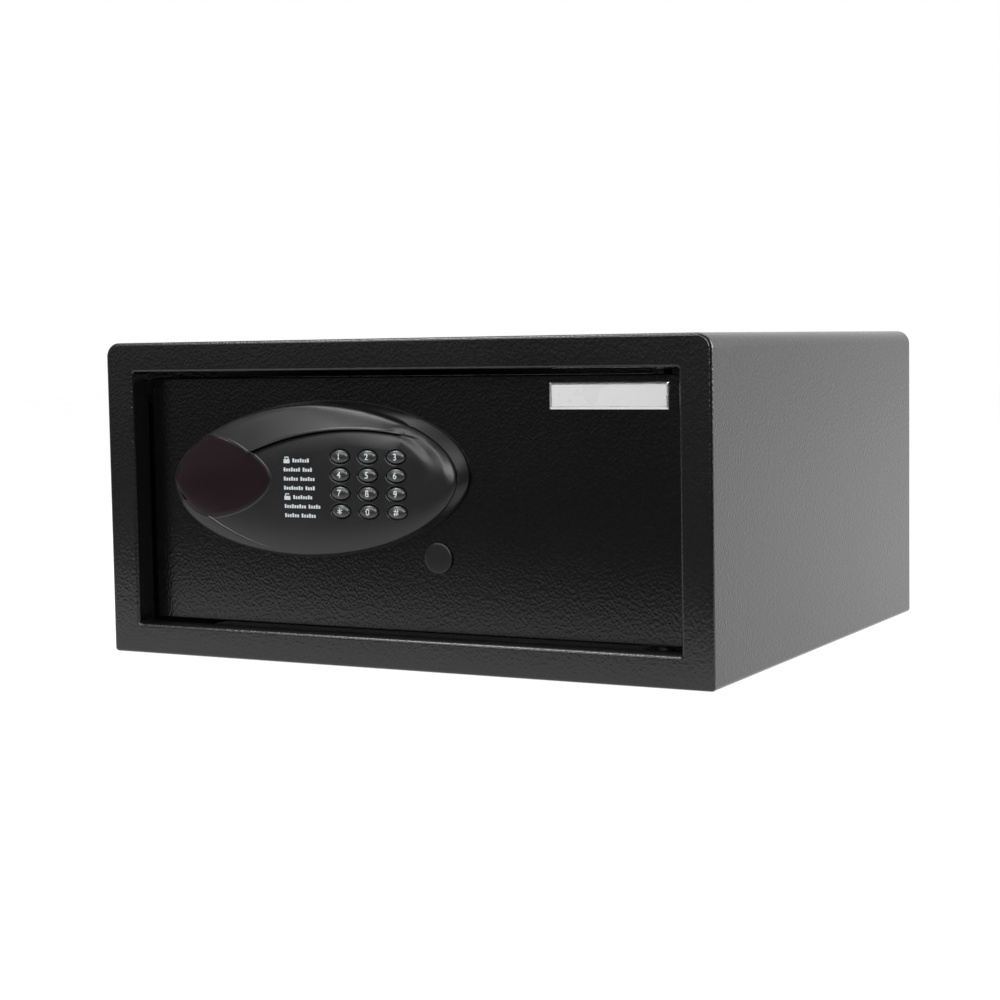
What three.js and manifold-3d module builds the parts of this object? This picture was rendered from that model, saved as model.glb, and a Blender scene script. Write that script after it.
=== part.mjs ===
// A hotel room safe: steel cabinet, recessed door with an oval keypad panel, and its bolt work.
// Millimetres. Inside the turned group x runs to the right, y up and z out of the front;
// the group turns this so that the part stands on z = 0 and its front faces -Y.
import * as THREE from "three";
import { mergeVertices } from "three/addons/utils/BufferGeometryUtils.js";
import Module from "manifold-3d";

const wasm = await Module();
wasm.setup();

// Clearances
const seat = 0.3;
const overrun = 2;
const runningGap = 0.35;

// Cabinet
const cabinetWidth = 420;
const cabinetHeight = 200;
const cabinetDepth = 370;
const cabinetSheet = 2;
const topFoldRadius = 9;
const bottomFoldRadius = 4;
const frontEdgeRadius = 2;
const flangeSide = 20;
const flangeTop = 18.5;
const flangeBottom = 18.5;
const jambDepth = 16;
const jambSheet = 1.5;
const backSheet = 2;
const leastRadius = 0.2;

// Anchor holes and mat
const anchorRadius = 5;
const floorAnchorSpacing = 200;
const floorAnchorBehindMiddle = 20;
const backAnchorSpacing = 200;
const backAnchorHeight = 100;
const matThickness = 3;
const matMargin = 4;
const matHoleRadius = 13;

// Door
const doorRecess = 18;
const doorThickness = 5;
const doorSideGap = 2;
const doorTopGap = 4.3;
const doorBottomGap = 2.3;
const doorEdgeRadius = 1.5;
const cableHoleRadius = 7;

// Hinge
const pivotFromDoorEdge = 20;
const hingeBarWidth = 12;
const hingeBarEndGap = 1;
const pinRadius = 3.5;
const pinDepthInBar = 14;
const pinHeadroom = 1;
const bushingRadius = 5.5;
const upperBushingLength = 3.2;
const bracketHalfWidth = 12;
const bracketSheet = 3.5;
const bracketLift = 0.5;
const bracketReach = 13;

// Bolt work
const boltRadius = 8;
const boltSpacing = 80;
const boltBehindDoor = 12;
const boltSetBack = 2;
const boltLength = 36;
const boltNoseChamfer = 2;
const boltTailRadius = 4;
const boltTailProud = 1.5;
const boltStroke = 13;
const guideWidth = 12;
const guideHeight = 26;
const guideBehindBolt = 4;
const guideFromBoltEnd = 4;
const keeperSheet = 2.5;
const keeperFromJamb = 2;
const keeperMargin = 6;
const keeperEndMargin = 14;
const keeperHoleGap = 1;
const carriageSheet = 3;
const carriageWebMargin = 4;
const carriageReach = 80;
const carriageArmHeight = 19;
const slotWidth = 4.8;
const guidePostSpacing = 50;
const guidePostInset = 8;
const guidePostRadius = 4;
const guidePostShankRadius = 2;
const guidePostHead = 2;

// Drive
const toothModule = 1;
const pinionTeeth = 12;
const pinionWidth = 4;
const pinionShaftRadius = 2;
const toothFlankShare = 0.42;
const toothTipShare = 0.22;
const toothRootShare = 0.52;
const addendumShare = 0.9;
const dedendumShare = 1.25;
const pinionFromWeb = 52;
const rackLeadTeeth = 2;
const gearboxWidth = 24;
const gearboxHeight = 22;
const gearboxDepth = 16;
const gearboxAbovePinion = 10;
const motorRadius = 8;
const motorLength = 27;
const motorFlat = 6.5;
const motorBossRadius = 3;
const motorBossLength = 1.5;

// Inner cover
const coverLeftInset = 4;
const coverWidth = 232;
const coverHeight = 136;
const coverDepth = 30;
const coverSheet = 1.2;
const coverCornerRadius = 3;
const coverScrewInset = 8;
const coverScrewRadius = 2;
const coverScrewHeadRadius = 4;
const coverScrewHeadHeight = 2.4;

// Batteries
const cellRadius = 7;
const cellLength = 49;
const cellNubRadius = 2.6;
const cellNubLength = 1.2;
const cellPitch = 14.8;
const cellCount = 4;
const trayWall = 1.5;
const traySpringRoom = 2.5;
const trayFromCoverTop = 9;
const trayFromCoverRight = 46;
const batteryCoverLap = 4;
const batteryCoverSheet = 2;
const gripRibs = 4;
const gripRibWidth = 1.4;
const gripRibHeight = 0.8;
const gripRibLength = 18;
const gripRibPitch = 3.2;

// Control board and reset button
const controlBoardWidth = 70;
const controlBoardHeight = 40;
const boardThickness = 1.6;
const boardStandoff = 2;
const boardPostRadius = 2;
const resetRadius = 3;
const resetProud = 1.6;
const resetBody = 5;
const resetFlange = 1;
const resetTravel = 1.2;
const resetFromCoverLeft = 94;
const resetFromCoverTop = 20;

// Oval keypad panel, placed by its centre on the door
const panelFromDoorLeft = 127.9;
const panelBelowDoorTop = 63.6;
const panelHalfWidth = 107;
const panelHalfHeight = 48.9;
const panelLean = 0.196;
const panelFullness = 1.95;
const panelWall = 2;
const skirtHeight = 1.6;
const chamferHeight = 4;
const chamferWidth = 5.5;
const chamferLeastWidth = 1.2;
const chamferTurn = 0.45;
const domeHeight = 7;
const domeFullness = 2.5;
const crownShare = 0.1;
const sweepRise = 3.2;
const sweepRadius = 207;
const sweepPeakX = 33.7;
const sweepPeakY = 31.4;
const sweepEndX = 90;
const sweepFadeLength = 34;
const lipRise = 1.2;
const lipRadius = 170;
const lipPeakX = 9.7;
const lipPeakDrop = 48.3;
const lipEndLeft = 22;
const lipFadeLength = 40;
const fadedDrop = 0.4;

// Display window, measured to the left of the panel's centre and up or down from it
const windowFarReach = 104.6;
const windowTipReach = 78.4;
const windowNearReach = 28;
const windowRise = 27.4;
const windowDrop = 24.8;
const windowSideRise = 0.8;
const windowFullnesses = [1.64, 1.32, 1.5, 1.78];
const windowFloor = 6.2;
const windowFloorSheet = 1.5;
const windowLedge = 3.5;
const windowBevel = 0.8;
const windowProud = 0.4;
const windowRimWall = 1.6;
const displayWidth = 40;
const displayHeight = 15;
const displayDepth = 3.4;
const displayReach = 66;
const displayRise = 1;

// Keys
const keyColumns = 3;
const keyRows = 4;
const keyPitchX = 19.7;
const keyPitchY = 11.2;
const keypadX = 43.2;
const keypadDrop = 1.85;
const keyHalfWidth = 6.2;
const keyHalfHeight = 4.2;
const keyProud = 1.6;
const keyCrown = 1.1;
const keyWellGap = 0.4;
const keyWellFlare = 0.9;
const keyWellFlareDepth = 0.8;
const keyFlange = 0.9;
const keyFlangeLap = 0.8;
const keyFlangeDrop = 0.8;
const keyPlungerInset = 2;
const keyTravel = 0.8;
const keyMatThickness = 1.2;
const keyMatMargin = 3;
const keyBoardMargin = 6;
const keyBoardThickness = 1.6;

// Emergency lock, placed from the panel's centre
const lockRightOfPanel = 85;
const lockBelowPanel = 46.6;
const lockNoseRadius = 7.8;
const lockBodyRadius = 10;
const lockBodyLength = 18;
const lockNoseSetBack = 2.6;
const coreRadius = 5.5;
const coreSetBack = 1;
const keywayWidth = 1.6;
const keywayHeight = 6;
const keywayDepth = 4;
const camLength = 17;
const camWidth = 7;
const camSheet = 2;
const lockCoverRadius = 9.5;
const lockCoverThickness = 1.4;
const lockCoverCrown = 0.6;
const lockCoverStem = 2;
const lockCoverStemGap = 0.4;

// Facet counts
const foldSteps = 5;
const edgeSteps = 3;
const roundSides = 24;
const smallRoundSides = 12;
const panelSides = 55;
const domeRings = 6;
const hollowSides = 24;
const hollowRings = 4;
const keySides = 16;
const windowSides = 32;
const windowRings = 3;

// Levels worked out from the sizes
const front = cabinetDepth / 2;
const back = -cabinetDepth / 2;
const innerHalfWidth = cabinetWidth / 2 - cabinetSheet;
const innerTop = cabinetHeight - cabinetSheet;
const doorwayHalfWidth = cabinetWidth / 2 - flangeSide;
const doorwayTop = cabinetHeight - flangeTop;
const doorwayBottom = flangeBottom;
const jambBack = front - jambDepth;
const doorFace = front - doorRecess;
const doorInner = doorFace - doorThickness;
const doorLeft = -doorwayHalfWidth + doorSideGap;
const doorRight = doorwayHalfWidth - doorSideGap;
const doorTop = doorwayTop - doorTopGap;
const doorBottom = doorwayBottom + doorBottomGap;
const doorMiddleY = (doorTop + doorBottom) / 2;
const pivotX = doorRight - pivotFromDoorEdge;
const pivotZ = doorInner - seat - hingeBarWidth / 2;
const boltZ = doorInner - boltBehindDoor;
const boltEnd = doorLeft + boltSetBack;
const boltHeights = [doorMiddleY + boltSpacing / 2, doorMiddleY - boltSpacing / 2];
const webLeft = boltEnd + boltLength;
const webRight = webLeft + carriageSheet;
const coverLeft = doorLeft + coverLeftInset;
const coverRight = coverLeft + coverWidth;
const coverBottom = doorMiddleY - coverHeight / 2;
const coverTop = doorMiddleY + coverHeight / 2;
const coverFront = doorInner - seat;
const coverBack = coverFront - coverDepth;
const carriageBack = boltZ - boltRadius - carriageWebMargin;
const carriageFront = carriageBack + carriageSheet;
const panelX = doorLeft + panelFromDoorLeft;
const panelY = doorTop - panelBelowDoorTop;
const lockX = panelX + lockRightOfPanel;
const lockY = panelY - lockBelowPanel;

// Solids
function solidOf(geometry) {
  const bare = geometry.clone();
  bare.deleteAttribute("normal");
  bare.deleteAttribute("uv");
  const merged = mergeVertices(bare);
  const vertProperties = new Float32Array(merged.attributes.position.array);
  const faces = [];
  for (let i = 0; i < merged.index.count; i += 3) {
    const [a, b, c] = [0, 1, 2].map((corner) => merged.index.getX(i + corner));
    if (a !== b && b !== c && c !== a) {
      faces.push(a, b, c);
    }
  }
  const triVerts = new Uint32Array(faces);
  return new wasm.Manifold(new wasm.Mesh({ numProp: 3, vertProperties, triVerts }));
}

function geometryOf(solid) {
  const mesh = solid.getMesh();
  const geometry = new THREE.BufferGeometry();
  geometry.setAttribute("position", new THREE.BufferAttribute(mesh.vertProperties, mesh.numProp));
  geometry.setIndex(new THREE.BufferAttribute(mesh.triVerts, 1));
  geometry.computeVertexNormals();
  return geometry;
}

function box(x0, x1, y0, y1, z0, z1) {
  const geometry = new THREE.BoxGeometry(x1 - x0, y1 - y0, z1 - z0);
  geometry.translate((x0 + x1) / 2, (y0 + y1) / 2, (z0 + z1) / 2);
  return solidOf(geometry);
}

function rod(radius, length, sides = roundSides) {
  return new THREE.CylinderGeometry(radius, radius, length, sides);
}

function rodAlongX(radius, x0, x1, y, z, sides) {
  const geometry = rod(radius, x1 - x0, sides);
  geometry.rotateZ(Math.PI / 2);
  geometry.translate((x0 + x1) / 2, y, z);
  return solidOf(geometry);
}

function rodAlongY(radius, y0, y1, x, z, sides) {
  const geometry = rod(radius, y1 - y0, sides);
  geometry.translate(x, (y0 + y1) / 2, z);
  return solidOf(geometry);
}

function rodAlongZ(radius, z0, z1, x, y, sides) {
  const geometry = rod(radius, z1 - z0, sides);
  geometry.rotateX(Math.PI / 2);
  geometry.translate(x, y, (z0 + z1) / 2);
  return solidOf(geometry);
}

// A turned piece along +z: the profile is a list of [radius, z] from one end of the axis to the other.
function turned(profile, sides = roundSides) {
  const points = profile.map(([radius, z]) => new THREE.Vector2(radius, z));
  const geometry = new THREE.LatheGeometry(points, sides);
  geometry.rotateX(Math.PI / 2);
  return solidOf(geometry);
}

// A skin over sections that follow each other along +z, each with as many [x, y] or [x, y, z] points,
// closed at both ends by a fan round the section's centre.
function skinned(sections) {
  const count = sections[0].points.length;
  const positions = [];
  const indices = [];
  for (const { points, z } of sections) {
    for (const point of points) {
      positions.push(point[0], point[1], point[2] ?? z);
    }
  }
  for (let ring = 0; ring + 1 < sections.length; ring += 1) {
    for (let i = 0; i < count; i += 1) {
      const a = ring * count + i;
      const b = ring * count + ((i + 1) % count);
      indices.push(a, b, b + count, a, b + count, a + count);
    }
  }
  const last = (sections.length - 1) * count;
  for (const [start, flip] of [[0, true], [last, false]]) {
    const centre = [0, 0, 0];
    for (let i = start * 3; i < (start + count) * 3; i += 1) {
      centre[i % 3] += positions[i] / count;
    }
    const hub = positions.length / 3;
    positions.push(...centre);
    for (let i = 0; i < count; i += 1) {
      const a = start + i;
      const b = start + ((i + 1) % count);
      indices.push(hub, flip ? b : a, flip ? a : b);
    }
  }
  const geometry = new THREE.BufferGeometry();
  geometry.setAttribute("position", new THREE.Float32BufferAttribute(positions, 3));
  geometry.setIndex(indices);
  return solidOf(geometry);
}

// A rectangle with its own radius at the top and bottom corners, drawn inwards by an inset.
function roundedFrame({ left, right, bottom, top }, topRadius, bottomRadius, inset) {
  const points = [];
  const corners = [
    [right, top, topRadius],
    [left, top, topRadius],
    [left, bottom, bottomRadius],
    [right, bottom, bottomRadius],
  ];
  for (const [quarter, [x, y, radius]] of corners.entries()) {
    const inner = Math.max(radius - inset, leastRadius);
    const centreX = x - Math.sign(x - (left + right) / 2) * (inset + inner);
    const centreY = y - Math.sign(y - (bottom + top) / 2) * (inset + inner);
    for (let step = 0; step <= foldSteps; step += 1) {
      const angle = ((quarter + step / foldSteps) * Math.PI) / 2;
      points.push([centreX + inner * Math.cos(angle), centreY + inner * Math.sin(angle)]);
    }
  }
  return points;
}

// A plate or block of that outline whose front edge is rounded.
function roundedBlock(frame, topRadius, bottomRadius, z0, z1, edgeRadius) {
  const sections = [{ z: z0, points: roundedFrame(frame, topRadius, bottomRadius, 0) }];
  for (let step = 0; step <= edgeSteps; step += 1) {
    const angle = ((step / edgeSteps) * Math.PI) / 2;
    const inset = edgeRadius * (1 - Math.cos(angle));
    const z = z1 - edgeRadius * (1 - Math.sin(angle));
    sections.push({ z, points: roundedFrame(frame, topRadius, bottomRadius, inset) });
  }
  return skinned(sections);
}

// Finishes
function finish(name, color, roughness, metalness) {
  return new THREE.MeshStandardMaterial({ name, color, roughness, metalness });
}
const blackCoat = () => finish("black_coat", 0x26262a, 0.55, 0.2);
const plainSteel = () => finish("plain_steel", 0x9a9c9e, 0.35, 0.9);
const zincSteel = () => finish("zinc_steel", 0xb5b7b2, 0.4, 0.9);
const brass = () => finish("brass", 0xb08d4a, 0.35, 0.9);
const blackPlastic = () => finish("black_plastic", 0x232325, 0.45, 0);
const panelPlastic = () => finish("panel_plastic", 0x2b2b2d, 0.4, 0);
const keyPlastic = () => finish("key_plastic", 0x303236, 0.3, 0);
const smokedWindow = () => finish("smoked_window", 0x2a1016, 0.12, 0);
const greenBoard = () => finish("green_board", 0x1f5a34, 0.5, 0.1);
const greyRubber = () => finish("grey_rubber", 0x4a4c4e, 0.8, 0);
const feltMat = () => finish("felt_mat", 0x303036, 0.95, 0);
const cellWrap = () => finish("cell_wrap", 0x3c5a86, 0.4, 0.2);
const redPlastic = () => finish("red_plastic", 0xa32020, 0.4, 0);

const safe = new THREE.Group();
safe.rotation.x = Math.PI / 2;

function place(parent, name, solid, material, position = [0, 0, 0]) {
  const mesh = new THREE.Mesh(geometryOf(solid), material);
  mesh.name = name;
  mesh.position.set(...position);
  parent.add(mesh);
  return mesh;
}

function groupAt(parent, x, y, z) {
  const group = new THREE.Group();
  group.position.set(x, y, z);
  parent.add(group);
  return group;
}

// Cabinet
const cabinetFrame = {
  left: -cabinetWidth / 2,
  right: cabinetWidth / 2,
  bottom: 0,
  top: cabinetHeight,
};
const floorAnchors = [-1, 1].map((side) => ({
  x: (side * floorAnchorSpacing) / 2,
  z: -floorAnchorBehindMiddle,
}));

function cabinetShell() {
  const outside = roundedBlock(
    cabinetFrame, topFoldRadius, bottomFoldRadius, back, front, frontEdgeRadius,
  );
  const hollowOutline = roundedFrame(cabinetFrame, topFoldRadius, bottomFoldRadius, cabinetSheet);
  const hollow = skinned([
    { z: back - overrun, points: hollowOutline },
    { z: front - cabinetSheet, points: hollowOutline },
  ]);
  const doorway = box(
    -doorwayHalfWidth, doorwayHalfWidth, doorwayBottom, doorwayTop,
    front - cabinetSheet - overrun, front + overrun,
  );
  let shell = outside.subtract(hollow).subtract(doorway);
  for (const { x, z } of floorAnchors) {
    shell = shell.subtract(rodAlongY(anchorRadius, -overrun, cabinetSheet + overrun, x, z));
  }
  return shell;
}

function doorJamb() {
  const z0 = jambBack;
  const z1 = front - cabinetSheet;
  const around = box(
    -doorwayHalfWidth - jambSheet, doorwayHalfWidth + jambSheet,
    doorwayBottom - jambSheet, doorwayTop + jambSheet, z0, z1,
  );
  const way = box(
    -doorwayHalfWidth, doorwayHalfWidth, doorwayBottom, doorwayTop, z0 - overrun, z1 + overrun,
  );
  return around.subtract(way);
}

function backPanel() {
  const outline = roundedFrame(cabinetFrame, topFoldRadius, bottomFoldRadius, cabinetSheet + seat);
  let panel = skinned([{ z: back, points: outline }, { z: back + backSheet, points: outline }]);
  for (const side of [-1, 1]) {
    const x = (side * backAnchorSpacing) / 2;
    const hole = rodAlongZ(anchorRadius, back - overrun, back + backSheet + overrun, x, backAnchorHeight);
    panel = panel.subtract(hole);
  }
  return panel;
}

function floorMat() {
  const y0 = cabinetSheet + seat;
  const matFront = pivotZ - bracketReach - matMargin;
  let mat = box(
    -innerHalfWidth + matMargin, innerHalfWidth - matMargin, y0, y0 + matThickness,
    back + backSheet + seat, matFront,
  );
  for (const { x, z } of floorAnchors) {
    mat = mat.subtract(rodAlongY(matHoleRadius, y0 - overrun, y0 + matThickness + overrun, x, z));
  }
  return mat;
}

function boltKeeper() {
  const right = -doorwayHalfWidth - jambSheet - keeperFromJamb;
  const left = right - keeperSheet;
  const top = boltHeights[0] + boltRadius + keeperEndMargin;
  const bottom = boltHeights[1] - boltRadius - keeperEndMargin;
  const z1 = front - cabinetSheet - seat;
  const z0 = boltZ - boltRadius - keeperMargin;
  const leg = box(left, right, bottom, top, z0, z1);
  const foot = box(-innerHalfWidth + seat, right, bottom, top, z1 - keeperSheet, z1);
  let keeper = leg.add(foot);
  for (const y of boltHeights) {
    const radius = boltRadius + keeperHoleGap;
    keeper = keeper.subtract(rodAlongX(radius, left - overrun, right + overrun, y, boltZ));
  }
  return keeper;
}

// Each hinge bracket is an angle: one leg holds the pin, the other stands on the sheet beyond it.
function hingeBracket(legNear, legFar, wall) {
  const z0 = pivotZ - bracketReach;
  const z1 = jambBack - seat;
  const leg = box(
    pivotX - bracketHalfWidth, pivotX + bracketHalfWidth,
    Math.min(legNear, legFar), Math.max(legNear, legFar), z0, z1,
  );
  const foot = box(
    pivotX - bracketHalfWidth, pivotX + bracketHalfWidth,
    Math.min(legNear, wall), Math.max(legNear, wall), z0, z0 + bracketSheet,
  );
  const bore = rodAlongY(
    pinRadius + runningGap,
    Math.min(legNear, legFar) - overrun, Math.max(legNear, legFar) + overrun,
    pivotX, pivotZ, smallRoundSides,
  );
  return leg.add(foot).subtract(bore);
}

const hingeBarTop = doorTop - hingeBarEndGap;
const hingeBarBottom = doorBottom + hingeBarEndGap;
const upperBracketNear = doorwayTop + bracketLift;
const upperBracketFar = upperBracketNear + bracketSheet;
const lowerBracketNear = doorwayBottom - bracketLift;
const lowerBracketFar = lowerBracketNear - bracketSheet;

function hingePin(y0, y1) {
  return rodAlongY(pinRadius, y0, y1, pivotX, pivotZ, smallRoundSides);
}

function bushing(y0, y1) {
  const ring = rodAlongY(bushingRadius, y0, y1, pivotX, pivotZ, smallRoundSides);
  const bore = rodAlongY(
    pinRadius + runningGap, y0 - overrun, y1 + overrun, pivotX, pivotZ, smallRoundSides,
  );
  return ring.subtract(bore);
}

place(safe, "cabinet_shell", cabinetShell(), blackCoat());
place(safe, "door_jamb", doorJamb(), blackCoat());
place(safe, "back_panel", backPanel(), blackCoat());
place(safe, "floor_mat", floorMat(), feltMat());
place(safe, "bolt_keeper", boltKeeper(), blackCoat());
place(
  safe, "upper_hinge_bracket",
  hingeBracket(upperBracketNear, upperBracketFar, innerTop - seat), blackCoat(),
);
place(
  safe, "lower_hinge_bracket",
  hingeBracket(lowerBracketNear, lowerBracketFar, cabinetSheet + seat), blackCoat(),
);
place(
  safe, "upper_hinge_pin",
  hingePin(hingeBarTop - pinDepthInBar + seat, upperBracketFar + pinHeadroom), plainSteel(),
);
place(
  safe, "lower_hinge_pin",
  hingePin(lowerBracketFar - pinHeadroom, hingeBarBottom + pinDepthInBar - seat), plainSteel(),
);
place(safe, "lower_bushing", bushing(lowerBracketNear + seat, hingeBarBottom - seat), brass());

// Door
const door = groupAt(safe, 0, 0, 0);
const doorFrame = { left: doorLeft, right: doorRight, bottom: doorBottom, top: doorTop };
const lockHoleRadius = lockNoseRadius + lockCoverStemGap;

function doorPlate() {
  const plate = roundedBlock(
    doorFrame, doorEdgeRadius, doorEdgeRadius, doorInner, doorFace, doorEdgeRadius,
  );
  const z0 = doorInner - overrun;
  const z1 = doorFace + overrun;
  const cableHole = rodAlongZ(cableHoleRadius, z0, z1, panelX, panelY, smallRoundSides);
  const lockHole = rodAlongZ(lockHoleRadius, z0, z1, lockX, lockY);
  return plate.subtract(cableHole).subtract(lockHole);
}

function hingeBar() {
  const half = hingeBarWidth / 2;
  const bar = box(
    pivotX - half, pivotX + half, hingeBarBottom, hingeBarTop, pivotZ - half, pivotZ + half,
  );
  const boreRadius = pinRadius + runningGap;
  const upper = rodAlongY(
    boreRadius, hingeBarTop - pinDepthInBar, hingeBarTop + overrun, pivotX, pivotZ, smallRoundSides,
  );
  const lower = rodAlongY(
    boreRadius, hingeBarBottom - overrun, hingeBarBottom + pinDepthInBar, pivotX, pivotZ,
    smallRoundSides,
  );
  return bar.subtract(upper).subtract(lower);
}

function boltGuide(y) {
  const x0 = boltEnd + guideFromBoltEnd;
  const block = box(
    x0, x0 + guideWidth, y - guideHeight / 2, y + guideHeight / 2,
    boltZ - boltRadius - guideBehindBolt, doorInner - seat,
  );
  const bore = rodAlongX(boltRadius + runningGap, x0 - overrun, x0 + guideWidth + overrun, y, boltZ);
  return block.subtract(bore);
}

place(door, "door_plate", doorPlate(), blackCoat());
place(door, "hinge_bar", hingeBar(), blackCoat());
place(
  door, "upper_bushing", bushing(hingeBarTop + seat, hingeBarTop + seat + upperBushingLength), brass(),
);
place(door, "upper_bolt_guide", boltGuide(boltHeights[0]), zincSteel());
place(door, "lower_bolt_guide", boltGuide(boltHeights[1]), zincSteel());

// Bolt carriage, bolts and drive
const pitchRadius = (toothModule * pinionTeeth) / 2;
const toothPitch = toothModule * Math.PI;
const pinionX = webRight + pinionFromWeb;
const armTop = doorMiddleY + carriageArmHeight / 2;
const armBottom = doorMiddleY - carriageArmHeight / 2;
const pitchLineY = armBottom - dedendumShare * toothModule;
const pinionY = pitchLineY - pitchRadius;
const armRight = webRight + carriageReach;
const guidePostY = armTop - slotWidth - guidePostShankRadius;
const guidePostXs = [webRight + guidePostInset, webRight + guidePostInset + guidePostSpacing];

// Half the width of a tooth, in turns of pitch, at its root, pitch line and tip.
const toothStations = [
  [-dedendumShare, toothRootShare / 2],
  [0, toothFlankShare / 2],
  [addendumShare, toothTipShare / 2],
];

function rackTooth(x) {
  const shape = new THREE.Shape();
  const sunk = armBottom + toothModule;
  const outline = [];
  for (const [height, halfShare] of toothStations) {
    outline.push([halfShare * toothPitch, pitchLineY - height * toothModule]);
  }
  shape.moveTo(x - outline[0][0], sunk);
  for (const [half, y] of outline) {
    shape.lineTo(x - half, y);
  }
  for (const [half, y] of outline.reverse()) {
    shape.lineTo(x + half, y);
  }
  shape.lineTo(x + outline[outline.length - 1][0], sunk);
  shape.closePath();
  const geometry = new THREE.ExtrudeGeometry(shape, { depth: carriageSheet, bevelEnabled: false });
  geometry.translate(0, 0, carriageBack);
  return solidOf(geometry);
}

function boltCarriage() {
  const web = box(
    webLeft, webRight,
    boltHeights[1] - boltRadius - carriageWebMargin, boltHeights[0] + boltRadius + carriageWebMargin,
    carriageBack, boltZ + boltRadius,
  );
  const arm = box(webLeft, armRight, armBottom, armTop, carriageBack, carriageFront);
  let carriage = web.add(arm);
  const rackEnd = Math.ceil(boltStroke / toothPitch) + rackLeadTeeth;
  for (let tooth = -rackLeadTeeth; tooth < rackEnd; tooth += 1) {
    carriage = carriage.add(rackTooth(pinionX + (tooth + 1 / 2) * toothPitch));
  }
  for (const y of boltHeights) {
    const hole = rodAlongX(
      boltTailRadius + seat, webLeft - overrun, webRight + overrun, y, boltZ, smallRoundSides,
    );
    carriage = carriage.subtract(hole);
  }
  for (const x of guidePostXs) {
    const z0 = carriageBack - overrun;
    const z1 = carriageFront + overrun;
    const halfSlot = slotWidth / 2;
    const slot = box(x, x + boltStroke, guidePostY - halfSlot, guidePostY + halfSlot, z0, z1);
    carriage = carriage.subtract(slot);
    for (const endX of [x, x + boltStroke]) {
      carriage = carriage.subtract(rodAlongZ(halfSlot, z0, z1, endX, guidePostY, smallRoundSides));
    }
  }
  return carriage;
}

// A bolt is turned along its own axis, its nose at zero and its tail through the carriage web.
function lockingBolt() {
  const shoulder = boltLength - seat;
  const tailEnd = boltLength + carriageSheet + boltTailProud;
  return turned([
    [0, 0],
    [boltRadius - boltNoseChamfer, 0],
    [boltRadius, boltNoseChamfer],
    [boltRadius, shoulder],
    [boltTailRadius, shoulder],
    [boltTailRadius, tailEnd],
    [0, tailEnd],
  ]);
}

function drivePinion() {
  const shape = new THREE.Shape();
  const points = [];
  for (let tooth = 0; tooth < pinionTeeth; tooth += 1) {
    const middle = Math.PI / 2 + (tooth * 2 * Math.PI) / pinionTeeth;
    const turn = (2 * Math.PI) / pinionTeeth;
    for (const [height, halfShare] of toothStations) {
      points.push([pitchRadius + height * toothModule, middle - halfShare * turn]);
    }
    for (const [height, halfShare] of [...toothStations].reverse()) {
      points.push([pitchRadius + height * toothModule, middle + halfShare * turn]);
    }
  }
  points.forEach(([radius, angle], index) => {
    const x = radius * Math.cos(angle);
    const y = radius * Math.sin(angle);
    if (index === 0) {
      shape.moveTo(x, y);
    } else {
      shape.lineTo(x, y);
    }
  });
  shape.closePath();
  const middleZ = (carriageBack + carriageFront) / 2;
  const geometry = new THREE.ExtrudeGeometry(shape, { depth: pinionWidth, bevelEnabled: false });
  geometry.translate(0, 0, middleZ - pinionWidth / 2);
  const shaftEnd = gearboxBack + gearboxDepth / 2;
  const shaft = rodAlongZ(pinionShaftRadius, middleZ, shaftEnd, 0, 0, smallRoundSides);
  return solidOf(geometry).add(shaft);
}

const gearboxFront = doorInner - seat;
const gearboxBack = gearboxFront - gearboxDepth;
const gearboxTop = pinionY + gearboxAbovePinion;
const gearboxBottom = gearboxTop - gearboxHeight;

function gearboxHousing() {
  const half = gearboxWidth / 2;
  const housing = box(
    pinionX - half, pinionX + half, gearboxBottom, gearboxTop, gearboxBack, gearboxFront,
  );
  const bore = rodAlongZ(
    pinionShaftRadius + runningGap, gearboxBack - overrun, gearboxBack + gearboxDepth / 2 + seat,
    pinionX, pinionY, smallRoundSides,
  );
  return housing.subtract(bore);
}

// The motor is a round can with two flats, so that it lies close to the door.
function driveMotor() {
  const top = gearboxBottom - seat - motorBossLength;
  const bottom = top - motorLength;
  const z = gearboxFront - motorFlat;
  const can = rodAlongY(motorRadius, bottom, top, pinionX, z);
  const flats = box(
    pinionX - motorRadius - overrun, pinionX + motorRadius + overrun,
    bottom - overrun, top + overrun, z - motorFlat, z + motorFlat,
  );
  const boss = rodAlongY(
    motorBossRadius, top - motorBossLength, top + motorBossLength, pinionX, z, smallRoundSides,
  );
  const tail = rodAlongY(
    motorBossRadius, bottom - motorBossLength, bottom + motorBossLength, pinionX, z, smallRoundSides,
  );
  return can.intersect(flats).add(boss).add(tail);
}

function guidePost() {
  const neck = carriageFront + seat;
  const headTop = carriageBack - seat;
  return turned([
    [0, headTop - guidePostHead],
    [guidePostRadius, headTop - guidePostHead],
    [guidePostRadius, headTop],
    [guidePostShankRadius, headTop],
    [guidePostShankRadius, neck],
    [guidePostRadius, neck],
    [guidePostRadius, doorInner - seat],
    [0, doorInner - seat],
  ], smallRoundSides);
}

place(door, "bolt_carriage", boltCarriage(), zincSteel());
const boltNames = ["upper_bolt", "lower_bolt"];
boltHeights.forEach((y, index) => {
  const bolt = place(door, boltNames[index], lockingBolt(), plainSteel(), [boltEnd, y, boltZ]);
  bolt.rotation.y = Math.PI / 2;
});
place(door, "drive_pinion", drivePinion(), brass(), [pinionX, pinionY, 0]);
place(door, "gearbox", gearboxHousing(), zincSteel());
place(door, "drive_motor", driveMotor(), plainSteel());
guidePostXs.forEach((x, index) => {
  place(door, `guide_post_${index + 1}`, guidePost(), plainSteel(), [x, guidePostY, 0]);
});

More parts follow.
